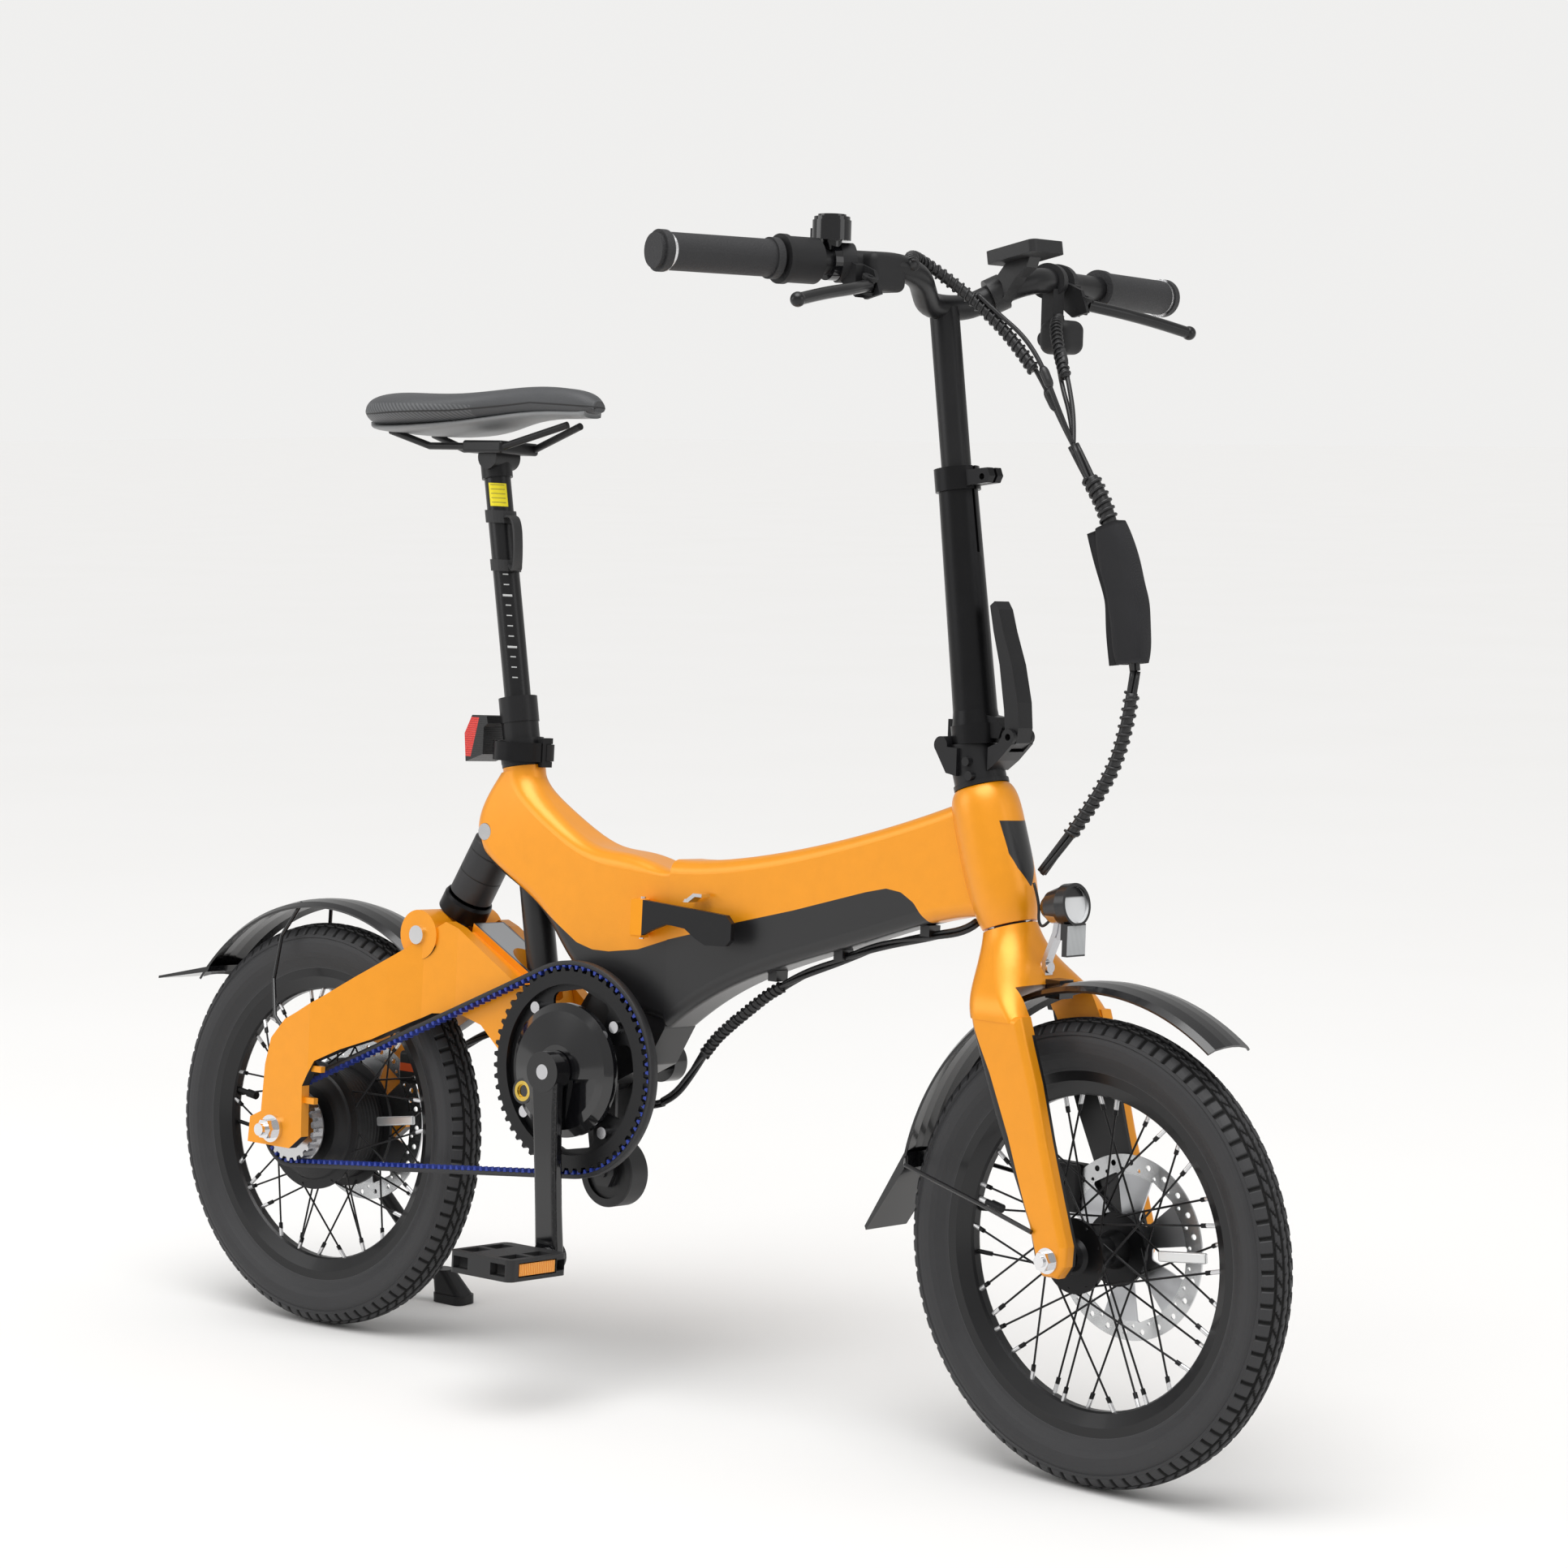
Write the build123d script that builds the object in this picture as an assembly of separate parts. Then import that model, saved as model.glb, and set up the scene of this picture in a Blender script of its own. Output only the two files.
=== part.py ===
from build123d import *
import math
import os

# A folding bicycle with a hub motor in the rear wheel. It stands on both tyres and its side stand.
# Millimetres. The bicycle is designed upright in its own frame: +X forward, +Y to the rider's left,
# +Z up, the rear axle above the origin. stand() then leans it over onto the side stand and moves
# the origin to the middle of its footprint on the floor.

# ---------------------------------------------------------------- driving dimensions
wheel_radius = 200.0
tyre_section = 23.3
rim_radius = 158.3
rim_bed_radius = 134.0
rim_half_width = 13.6
spokes_per_wheel = 36
wheelbase = 929.0
rotor_radius = 80.0

lean_angle = 4.5
steer_angle = -5.0
bar_twist = -2.5

bottom_bracket = (367.0, 297.0)
crank_length = 170.0
crank_angle = 5.0
chain_line = -50.0
ring_radius = 95.5
cog_radius = 34.0
belt_thickness = 3.6

swing_pivot = (320.0, 318.0)
shock_lower_eye = (157.0, 404.0)
shock_upper_eye = (217.0, 507.5)

seat_axis_foot = (278.6, 378.5)
seat_angle = 10.87
post_radius = 12.7
seat_tube_bore = 12.78

steer_axis_point = (802.0, 527.0)
steer_tilt = 17.8
head_radius = 23.0
stem_axis_foot = (781.5, 590.0)
stem_tilt = 8.53
stem_pin = (757.0, 622.0)
stem_lever_pin = (822.0, 632.0)
brake_pivot = (761.0, 135.0, 1012.0)
brake_pivot_axis = (0.424, 0.0487, 0.904)

fold_x = 455.0
fold_hinge_y = 35.0
frame_half_width = 28.0
running_gap = 0.05

rear_axle_half = 97.0
front_axle_half = 70.0
bar_radius = 11.1
bar_height = 1030.0
grip_end = 315.0

# the scissor that keeps the front wheel on the floor when the bicycle leans and steers
front_hub_drop = 0.19

os.makedirs("parts", exist_ok=True)
nodes = {}


# ---------------------------------------------------------------- small helpers
def rod(start, end, radius):
    """A round bar between two points."""
    axis = Vector(*end) - Vector(*start)
    place = Plane(origin=start, z_dir=axis)
    return place * Cylinder(radius, axis.length, align=(Align.CENTER, Align.CENTER, Align.MIN))


def cone(start, end, radius_start, radius_end):
    """A round bar that tapers between two points."""
    axis = Vector(*end) - Vector(*start)
    place = Plane(origin=start, z_dir=axis)
    return place * Cone(radius_start, radius_end, axis.length, align=(Align.CENTER, Align.CENTER, Align.MIN))


def pipe(start, end, outer, inner):
    """A round tube between two points."""
    return rod(start, end, outer) - rod(start, end, inner)


def across(x, z, y_low, y_high, radius):
    """A round bar along Y."""
    return rod((x, y_low, z), (x, y_high, z), radius)


def side_plane(y):
    """A sketch plane that faces the right side: local x is forward and local y is up."""
    return Plane(origin=(0, y, 0), x_dir=(1, 0, 0), z_dir=(0, -1, 0))


def slab(points, y_low, y_high, corner=0.0):
    """A side outline of straight edges, as thick as y_low to y_high."""
    outline = make_face(Polyline(*points, close=True))
    if corner:
        outline = fillet(outline.vertices(), corner)
    return extrude(side_plane(y_high) * outline, y_high - y_low)


def curved_slab(points, y_low, y_high):
    """A smooth closed side outline through the points, as thick as y_low to y_high."""
    outline = make_face(Spline(*points, periodic=True))
    return extrude(side_plane(y_high) * outline, y_high - y_low)


def turned(profile, x, z):
    """A solid of revolution about the wheel axle at (x, z). The profile is (radius, y) points."""
    points = [(x + r, y, z) for r, y in profile]
    face = make_face(Polyline(*points, close=True))
    return revolve(face, Axis((x, 0, z), (0, 1, 0)), 360)


def band(high, low, width, corner, y_mid=0.0):
    """A rounded rectangle that stands on the line from a low side point to a high one."""
    run = (high[0] - low[0], high[1] - low[1])
    middle = ((high[0] + low[0]) / 2, y_mid, (high[1] + low[1]) / 2)
    place = Plane(origin=middle, x_dir=(0, 1, 0), z_dir=(run[1], 0, -run[0]))
    return place * RectangleRounded(width, math.hypot(*run), corner)


def loft_bands(bands):
    return loft([band(*b) for b in bands])


def block(x0, x1, y0, y1, z0, z1):
    """A box between its low and high corners."""
    middle = ((x0 + x1) / 2, (y0 + y1) / 2, (z0 + z1) / 2)
    return Pos(*middle) * Box(x1 - x0, y1 - y0, z1 - z0)


def soft_block(x0, x1, y0, y1, z0, z1, radius):
    solid = block(x0, x1, y0, y1, z0, z1)
    return fillet(solid.edges(), radius)


def mirrored(shape):
    return mirror(shape, about=Plane.XZ)


def cord(points, radius, name=None):
    """A cord of straight runs and tangent arcs, each arc as large as its two runs allow."""
    spots = [Vector(*p) for p in points]
    radii = []
    for before, here, after in zip(spots, spots[1:], spots[2:]):
        turn = math.radians((here - before).get_angle(after - here))
        shorter = min((here - before).length, (after - here).length)
        radii.append(0.45 * shorter / math.tan(turn / 2))
    path = FilletPolyline(*spots, radius=radii)
    start = Plane(origin=spots[0], z_dir=spots[1] - spots[0])
    solid = sweep(start * Circle(radius), path=path)
    if name:
        tight = min(radii)
        section = math.pi * radius * radius * path.length
        print(name, "length", round(path.length), "tightest arc", round(tight), "volume ratio",
              round(solid.volume / section, 4))
    return solid


def group(*shapes):
    solids = []
    for shape in shapes:
        solids.extend(shape.solids())
    return Compound(children=solids)


def bore_through(x, z, radius, reach=130.0):
    return across(x, z, -reach, reach, radius)


# ---------------------------------------------------------------- placing
def axis_at(point, tilt):
    """A line in the bicycle's middle plane that leans back from vertical by tilt degrees."""
    lean = math.radians(tilt)
    return Axis((point[0], 0, point[1]), (-math.sin(lean), 0, math.cos(lean)))


def on_axis(point, tilt, height):
    """The point of such a line at a height."""
    return (point[0] - math.tan(math.radians(tilt)) * (height - point[1]), 0.0, height)


steer_axis = axis_at(steer_axis_point, steer_tilt)
stem_axis = axis_at(stem_axis_foot, stem_tilt)
seat_axis = axis_at(seat_axis_foot, seat_angle)


def seat_at(height):
    return on_axis(seat_axis_foot, seat_angle, height)


def steer_at(height):
    return on_axis(steer_axis_point, steer_tilt, height)


def stem_at(height):
    return on_axis(stem_axis_foot, stem_tilt, height)


rear_hub = (0.0, wheel_radius)
front_hub = (wheelbase, wheel_radius + front_hub_drop)
stand_height = (wheel_radius - tyre_section) * math.cos(math.radians(lean_angle)) + tyre_section
footprint_x = 448.34
footprint_y = 59.583


def stand(shape):
    """Lean the bicycle to its left, about the line under its wheels, and centre it."""
    leaned = Rot(-lean_angle, 0, 0) * Pos(0, 0, -wheel_radius) * shape
    return Pos(-footprint_x, -footprint_y, stand_height) * leaned


def steered(shape):
    return shape.rotate(steer_axis, steer_angle)


def twisted(shape):
    return steered(shape.rotate(stem_axis, bar_twist))


def save(name, shape, placed="bike"):
    if placed == "steer":
        shape = steered(shape)
    if placed == "bar":
        shape = twisted(shape)
    nodes[name] = shape


# ---------------------------------------------------------------- wheels
def lacing(x, z, flange_radius, flange_y, cross_angle):
    """Spokes with their nipples, from the two hub flanges to the rim, crossing each other."""
    made = []
    per_side = spokes_per_wheel // 2
    for side in (-1, 1):
        for i in range(per_side):
            lead = 1 if i % 2 else -1
            hub_angle = 2 * math.pi * (i + (0.5 if side > 0 else 0.0)) / per_side
            rim_angle = hub_angle + lead * math.radians(cross_angle)
            y_hub = side * (flange_y + 1.7 * lead)
            start = (x + flange_radius * math.cos(hub_angle), y_hub, z + flange_radius * math.sin(hub_angle))
            reach = rim_bed_radius + 0.8
            end = (x + reach * math.cos(rim_angle), side * 2.5, z + reach * math.sin(rim_angle))
            whole = Vector(*end) - Vector(*start)
            unit = whole.normalized()
            nipple = Vector(*end) - unit * 14.0
            made.append(rod(start, tuple(nipple + unit), 0.95) + rod(tuple(nipple), end, 2.0))
    return group(*made)


def tyre(x, z):
    """An open tyre casing with two beads that sit in the rim."""
    centre_radius = wheel_radius - tyre_section
    hoop = Plane(origin=(x, 0, z), z_dir=(0, 1, 0))
    outside = hoop * Torus(centre_radius, tyre_section)
    inside = hoop * Torus(centre_radius, tyre_section - 4.0)
    mouth = turned([(100, -9.5), (165, -9.5), (165, 9.5), (100, 9.5)], x, z)
    rim_room = turned([(100, -30), (152.0, -30), (152.0, 30), (100, 30)], x, z)
    return outside - inside - mouth - rim_room - rim_solid(x, z)


def rim_solid(x, z):
    half = rim_half_width
    top = rim_radius
    profile = [(top, -half), (top, -half + 1.8), (151.5, -half + 2.4), (146.5, -4), (146.5, 4),
               (151.5, half - 2.4), (top, half - 1.8), (top, half), (147.0, half - 0.6),
               (rim_bed_radius + 1.6, 6.0), (rim_bed_radius, 3.6), (rim_bed_radius, -3.6),
               (rim_bed_radius + 1.6, -6.0), (147.0, -half + 0.6)]
    return turned(profile, x, z)


def inner_tube(x, z):
    hoop = Plane(origin=(x, 0, z), z_dir=(0, 1, 0))
    return hoop * Torus(wheel_radius - tyre_section, tyre_section - 4.4)


def wheel_spot(x, z, radius, angle):
    """A point in a wheel's middle plane, angle degrees above the forward direction."""
    return (x + radius * math.cos(math.radians(angle)), 0.0, z + radius * math.sin(math.radians(angle)))


def valve(x, z, angle):
    """The inner tube's valve stem through the rim, with its cap."""
    stem = rod(wheel_spot(x, z, 112, angle), wheel_spot(x, z, 151, angle), 2.7)
    return stem + rod(wheel_spot(x, z, 108, angle), wheel_spot(x, z, 120, angle), 4.0)


def valve_hole(x, z, angle):
    return rod(wheel_spot(x, z, 125, angle), wheel_spot(x, z, 150, angle), 3.0)


def brake_rotor(x, z, y, hub_radius):
    """A perforated disc on a six-arm spider."""
    rotor = across(x, z, y - 0.9, y + 0.9, rotor_radius) - across(x, z, y - 2, y + 2, hub_radius)
    window = slab([(x + 27, z - 7), (x + 62, z - 20), (x + 64, z + 10), (x + 27, z + 3)], y - 2, y + 2, 2.5)
    hole = across(x + 73, z, y - 2, y + 2, 2.6)
    inner_hole = across(x + 67.2, z, y - 2, y + 2, 1.7)
    turn = Axis((x, y, z), (0, 1, 0))
    cuts = [window.rotate(turn, 60 * i) for i in range(6)]
    cuts += [hole.rotate(turn, 15 * i) for i in range(24)]
    cuts += [inner_hole.rotate(turn, 15 * i + 7.5) for i in range(24)]
    return rotor - cuts


def spoke_reflector(x, z, angle):
    """A flat reflector bar held between the two layers of spokes."""
    bar = soft_block(x + 68, x + 118, -2.2, 2.2, z - 4.5, z + 4.5, 1.5)
    return bar.rotate(Axis((x, 0, z), (0, 1, 0)), angle)


def rear_wheel():
    x, z = rear_hub
    save("rear_tyre", group(tyre(x, z), inner_tube(x, z)))
    save("rear_rim", rim_solid(x, z) - valve_hole(x, z, 172))
    save("rear_spokes", group(lacing(x, z, 60.0, 22.3, 24.0), spoke_reflector(x, z, -8), valve(x, z, 172)))
    bore = 6.0 + running_gap
    shell = turned([(bore, -38.5), (24, -38.5), (24, -33), (40, -32), (53, -26), (55, -24), (64, -24),
                    (64, -20.5), (56, -20), (56, 20), (64, 20.5), (64, 24), (55, 24), (50, 33), (40, 36),
                    (22.5, 37), (22.5, 49.5), (bore, 49.5)], x, z)
    save("hub_motor", shell)
    teeth = 20
    tips = toothed_outline(cog_radius, cog_radius - 3.4, teeth)
    cog = slab([(x + px, z + pz) for px, pz in tips], chain_line - 5, chain_line + 5)
    guard = across(x, z, chain_line + 5, chain_line + 6.4, cog_radius + 3)
    carrier = across(x, z, chain_line - 7.5, -38.5, 21.5)
    save("rear_cog", cog + guard + carrier - bore_through(x, z, bore))
    save("rear_rotor", brake_rotor(x, z, 50.4, 22.6))


def front_wheel():
    x, z = front_hub
    place = "steer"
    save("front_tyre", group(tyre(x, z), inner_tube(x, z)), place)
    save("front_rim", rim_solid(x, z) - valve_hole(x, z, 168), place)
    save("front_spokes", group(lacing(x, z, 28.0, 28.0, 62.0), spoke_reflector(x, z, -6), valve(x, z, 168)), place)
    bore = 4.6 + running_gap
    hub = turned([(bore, -38), (11, -38), (13, -33), (16, -30), (32, -30), (32, -26), (17, -25), (14, -10),
                  (14, 10), (17, 25), (32, 26), (32, 30), (22, 31), (22, 42.5), (17, 43), (17, 46), (bore, 46)],
                 x, z)
    save("front_hub", hub, place)
    save("front_rotor", brake_rotor(x, z, 43.4, 22.1), place)
    nuts = []
    for side in (-1, 1):
        hexagon = extrude(side_plane(side * 69.5 + 3.5) * Pos(x, z) * RegularPolygon(8.4, 6), 7.0)
        washer = across(x, z, side * 65.0 - 1.0, side * 65.0 + 1.0, 11.0)
        nuts.append(hexagon + washer - bore_through(x, z, 4.6))
    axle = across(x, z, -front_axle_half - 5, front_axle_half + 5, 4.6)
    save("front_axle", group(axle, *nuts), place)


def toothed_outline(tip, root, teeth):
    """The side outline of a belt sprocket: narrow flat-topped teeth with wider gaps."""
    points = []
    pitch = 2 * math.pi / teeth
    for i in range(teeth):
        for share, radius in ((-0.28, root), (-0.14, tip), (0.14, tip), (0.28, root)):
            angle = (i + share) * pitch
            points.append((radius * math.cos(angle), radius * math.sin(angle)))
    return points


# ---------------------------------------------------------------- rear half of the frame
def rear_frame():
    bx, bz = bottom_bracket
    horn = loft_bands([
        ((261.5, 571), (220.5, 563), 42, 20),
        ((268, 556), (206, 540), 45, 20),
        ((285, 541), (199, 508), 49, 18),
        ((318, 520), (232, 472), 53, 15),
        ((362, 503), (300, 430), 56, 14),
        ((410, 498), (372, 368), 56, 13),
        ((fold_x + 8, 499), (fold_x + 8, 335), 56, 13),
    ]) - block(fold_x, fold_x + 60, -60, 60, 300, 520)
    keel = slab([(345, 409), (fold_x - 2, 420), (fold_x - 2, 343), (432, 306), (388, 283), (346, 283), (340, 300),
                 (352, 345), (372, 385)], -22, 22, 6)
    shell = across(bx, bz, -34, 34, 23)
    pivot_boss = across(*swing_pivot, -28.5, 28.5, 17)
    web = slab([(314, 304), (352, 282), (390, 340), (365, 385), (330, 334)], -16, 16, 4)
    lower_tube = rod(seat_at(378.5), seat_at(500), 15)
    collar = rod(seat_at(548), seat_at(571), 20.5)
    eye = shock_upper_eye
    lug = slab([(eye[0] - 13, eye[1] - 8), (eye[0] - 7, eye[1] + 13), (eye[0] + 26, eye[1] + 22),
                (eye[0] + 26, eye[1] - 26), (eye[0] + 6, eye[1] - 14)], -21, 21, 5)
    frame = horn + keel + shell + pivot_boss + web + lower_tube + collar + lug
    frame += roller_arm()
    frame -= block(eye[0] - 30, eye[0] + 13.5, -12.5, 12.5, eye[1] - 34, eye[1] + 17)
    reach = [(lower - upper) / 119.6 for upper, lower in zip(shock_upper_eye, shock_lower_eye)]
    frame -= rod((eye[0] + 8 * reach[0], 0, eye[1] + 8 * reach[1]), (eye[0] + 90 * reach[0], 0, eye[1] + 90 * reach[1]), 23.5)
    frame -= rod(seat_at(370), seat_at(580), seat_tube_bore)
    frame -= bore_through(bx, bz, 17.55)
    frame -= bore_through(*swing_pivot, 6.0 + running_gap)
    frame -= bore_through(*eye, 5.0 + running_gap)
    frame -= [across(*eye, y0, y1, 8.3) for y0, y1 in ((-40, -20.9), (20.9, 40))]
    # latch clevis on the right, hinge knuckle on the left
    frame += block(425, 437, -35, -26, 430, 457) + rod((431, -35, 430), (431, -35, 457), 6.0)
    frame -= rod((431, -35, 420), (431, -35, 470), 2.5 + running_gap)
    knuckles = [rod((fold_x, fold_hinge_y, z0), (fold_x, fold_hinge_y, z1), 8.0) for z0, z1 in ((372, 396), (446, 470))]
    for z0, z1 in ((372, 396), (446, 470)):
        frame += block(fold_x - 30, fold_x - 1.0, 24, fold_hinge_y + 4, z0, z1)
    frame += knuckles
    frame -= rod((fold_x, fold_hinge_y, 360), (fold_x, fold_hinge_y, 480), 3.5 + running_gap)
    # clear of the front half's middle knuckle
    frame -= rod((fold_x, fold_hinge_y, 395.6), (fold_x, fold_hinge_y, 446.4), 9.0)
    frame -= block(fold_x + 0.0, fold_x + 40, -60, 24, 300, 520)
    save("rear_frame", frame)
    hinge_pin = rod((fold_x, fold_hinge_y, 369), (fold_x, fold_hinge_y, 473), 3.5)
    hinge_pin += rod((fold_x, fold_hinge_y, 470), (fold_x, fold_hinge_y, 473), 6.0)
    latch_pin = rod((431, -35, 424), (431, -35, 463), 2.5)
    shock_bolt = across(*eye, -24, 24, 5.0) + across(*eye, -25, -21, 8.0) + across(*eye, 21, 25, 8.0)
    save("frame_pins", group(hinge_pin, latch_pin, shock_bolt))


def roller_arm():
    """Two plates under the bottom bracket and the fixed axle of the transport roller between them."""
    plates = [slab([(350, 288), (392, 290), (394, 199), (388, 187), (374, 187), (367, 199)], y0, y0 + 3.5)
              for y0 in (-16.5, 13.0)]
    return plates + [across(381, 199, -18.5, 18.5, 4.0)]


def roller():
    wheel = turned([(4.0 + running_gap, -12.4), (14, -12.4), (14, -9), (24, -9), (24, -12), (31, -12), (32, -11),
                    (32, 11), (31, 12), (24, 12), (24, 9), (14, 9), (14, 12.4), (4.0 + running_gap, 12.4)],
                   381, 199)
    save("roller", wheel)


def fold_latch():
    """The over-centre lever that holds the two frame halves together, with its safety catch."""
    plate = slab([(426.5, 461), (440, 461), (540, 455), (547, 448), (547, 433), (541, 427), (517, 426),
                  (505, 431), (492, 439), (470, 441), (452, 434), (440, 428), (426.5, 428)], -47, -41.6)
    plate = fillet(plate.edges().filter_by(Axis.Y), 1.5)
    ears = [block(426.5, 439, -46, -35, z0, z1) + rod((431, -35, z0), (431, -35, z1), 6.0)
            for z0, z1 in ((457.5, 461), (426, 429.5))]
    hook = block(440, 470, -42, -33.0, 440, 450)
    lever = plate + ears + hook
    lever -= rod((431, -35, 420), (431, -35, 470), 2.5 + running_gap)
    save("frame_latch_lever", lever)
    arm = slab([(486, 462.8), (492, 462.8), (500, 468.5), (508, 468.5), (508, 471.5), (498, 471.5)], -44, -32)
    save("frame_safety_catch", arm + rod((489, -44, 464.2), (489, -29, 464.2), 1.6))


# ---------------------------------------------------------------- front half of the frame
def front_frame():
    beam = loft_bands([
        ((fold_x, 499), (fold_x, 343), 56, 13),
        ((512, 503), (500, 374), 56, 13),
        ((580, 515), (566, 405), 54, 13),
        ((660, 535), (650, 434), 50, 12),
        ((735, 559), (728, 460), 46, 12),
        ((785, 578), (811, 477), 42, 11),
    ])
    lean = math.radians(steer_tilt)
    upward = (-math.sin(lean), 0, math.cos(lean))
    head = loft([Plane(origin=steer_at(z), x_dir=(0, 1, 0), z_dir=upward) * Circle(radius) for z, radius in
                 ((469.2, 24.3), (478, 27), (500, 30.2), (535, 31), (568, 30.2), (579, 28), (586, 23.5))])
    frame = beam + head
    battery_bay = loft_bands([
        ((fold_x + 14, 488), (fold_x + 14, 366), 48, 9),
        ((512, 494), (500, 387), 48, 9),
        ((580, 506), (566, 416), 46, 9),
        ((660, 526), (650, 444), 42, 8),
        ((728, 546), (722, 470), 38, 8),
    ])
    frame -= battery_bay
    frame -= rod(steer_at(455), steer_at(595), 14.9)
    frame -= rod(steer_at(455), steer_at(477), 20.0)
    frame -= rod(steer_at(574), steer_at(595), 20.0)
    frame += block(fold_x + 1.0, fold_x + 30, 24, fold_hinge_y + 4, 396.4, 445.6)
    frame += rod((fold_x, fold_hinge_y, 396.4), (fold_x, fold_hinge_y, 445.6), 8.0)
    frame -= rod((fold_x, fold_hinge_y, 360), (fold_x, fold_hinge_y, 480), 3.5 + running_gap)
    for z0, z1 in ((371.6, 396.4), (445.6, 470.4)):
        frame -= rod((fold_x, fold_hinge_y, z0), (fold_x, fold_hinge_y, z1), 9.0)
    frame -= block(fold_x - 40, fold_x + 0.6, -60, 24, 300, 520)
    # the keeper that the latch hook draws on
    frame += block(462, 474, -32, -26, 440, 450)
    for x, z in ((566, 400.5), (640, 426), (735, 456)):
        frame += block(x - 5, x + 5, -8, 8, z - 4, z + 6)
    save("front_frame", frame)
    pack = loft_bands([
        ((fold_x + 18, 483), (fold_x + 18, 374), 42, 7),
        ((512, 489), (500, 393), 42, 7),
        ((580, 501), (566, 422), 40, 7),
        ((655, 519), (645, 449), 36, 7),
    ])
    control_board = block(668, 700, -13, 13, 466, 508)
    save("battery_pack", group(pack, control_board))
    bearings = []
    for z0, z1 in ((470.0, 476.0), (577.0, 585.0)):
        bearings.append(pipe(steer_at(z0), steer_at(z1), 19.9, 14.3 + running_gap))
    save("headset_bearings", group(*bearings))


# ---------------------------------------------------------------- rear suspension
def swingarm():
    px, pz = swing_pivot
    flank = slab([(-35, 183), (24, 183), (40, 196), (38, 246), (52, 272), (80, 286), (114, 299), (152, 318),
                  (178, 330), (210, 333), (240, 325), (266, 303), (300, 299), (322, 296), (322, 340), (291, 364),
                  (205, 414), (190, 419), (178, 412), (160, 399), (130, 380), (95, 359), (60, 337), (27, 318),
                  (10, 309), (-8, 289), (-15, 262), (-18, 215), (-33, 208)], -85, -25)
    plan = plan_slab([(-60, -77.5), (45, -77.5), (68, -72.5), (128, -57.5), (165, -46.5), (205, -42), (340, -42),
                      (340, -29.5), (200, -29.5), (160, -31.5), (122, -43.5), (64, -61), (46, -67.6),
                      (-60, -67.6)], 150, 450)
    lug = across(*shock_lower_eye, -47, -15, 24)
    cheek = across(px, pz, -41.8, -29.6, 20)
    side = (flank & plan) + lug + cheek
    side += block(34, 52, -74, -68.5, 229, 235)
    side += block(40, 60, -74, -68.5, 261, 267)
    stand_bracket = slab([(-24, 214), (-78, 176), (-80, 150), (-56, 146), (-12, 184), (-12, 206)], -83.5, -77.2)
    stand_bracket = mirrored(stand_bracket) - across(*rear_hub, 70, 120, 15.0)
    bridge = slab([(196, 402), (206, 410), (288, 366), (297, 342), (291, 312), (262, 312), (236, 338), (205, 350)],
                  -30.5, 30.5)
    top_plate = slab([(203, 408), (205, 418.5), (292, 371), (289, 362)], -21, 21)
    both = side + mirrored(side) + bridge + top_plate + stand_bracket
    both -= bore_through(*swing_pivot, 6.0)
    both -= bore_through(*shock_lower_eye, 6.2)
    both -= [across(*shock_lower_eye, y0, y1, 9.2) for y0, y1 in ((-80, -47), (47, 80))]
    both -= bore_through(*rear_hub, 6.0)
    both -= across(px, pz, -29.2, 29.2, 22)
    stand_pin = kickstand_pivot()
    both -= rod((stand_pin[0], 70, stand_pin[2]), (stand_pin[0], 90, stand_pin[2]), 5.0)
    # room for the foot of the seat tube through the whole stroke
    pivot_axis = Axis((px, 0, pz), (0, 1, 0))
    for angle in (0.0, -2.6, -5.2, -7.8):
        both -= rod(seat_at(352), seat_at(430), 17.5).rotate(pivot_axis, angle)
    save("swingarm", both)
    x, z = rear_hub
    axle = across(x, z, -rear_axle_half, rear_axle_half, 6.0)
    nuts = []
    for end in (-1, 1):
        hexagon = extrude(side_plane(end * 86.0 + 4.5) * Pos(x, z) * RegularPolygon(10.0, 6), 9.0)
        washer = across(x, z, end * 79.55 - 1.95, end * 79.55 + 1.95, 13.5)
        nuts.append(hexagon + washer - bore_through(x, z, 6.0))
    pivot_bolt = across(px, pz, -43, 43, 6.0) + across(px, pz, -45.5, -42, 9.5) + across(px, pz, 42, 45.5, 9.5)
    lower = shock_lower_eye
    shock_bolt = across(*lower, -48, 48, 6.2) + across(*lower, -50.5, -47, 9) + across(*lower, 47, 50.5, 9)
    pin = across(stand_pin[0], stand_pin[2], 75.5, 104, 5.0) + across(stand_pin[0], stand_pin[2], 104, 107, 9.0)
    save("swingarm_fasteners", group(axle, *nuts, pivot_bolt, shock_bolt, pin))


def kickstand_pivot():
    return (-62.0, 92.0, 162.0)


def plan_slab(points, z_low, z_high):
    """A straight-edged outline seen from above, as thick as z_low to z_high."""
    outline = make_face(Polyline(*points, close=True))
    return extrude(Plane(origin=(0, 0, z_low)) * outline, z_high - z_low)


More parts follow.
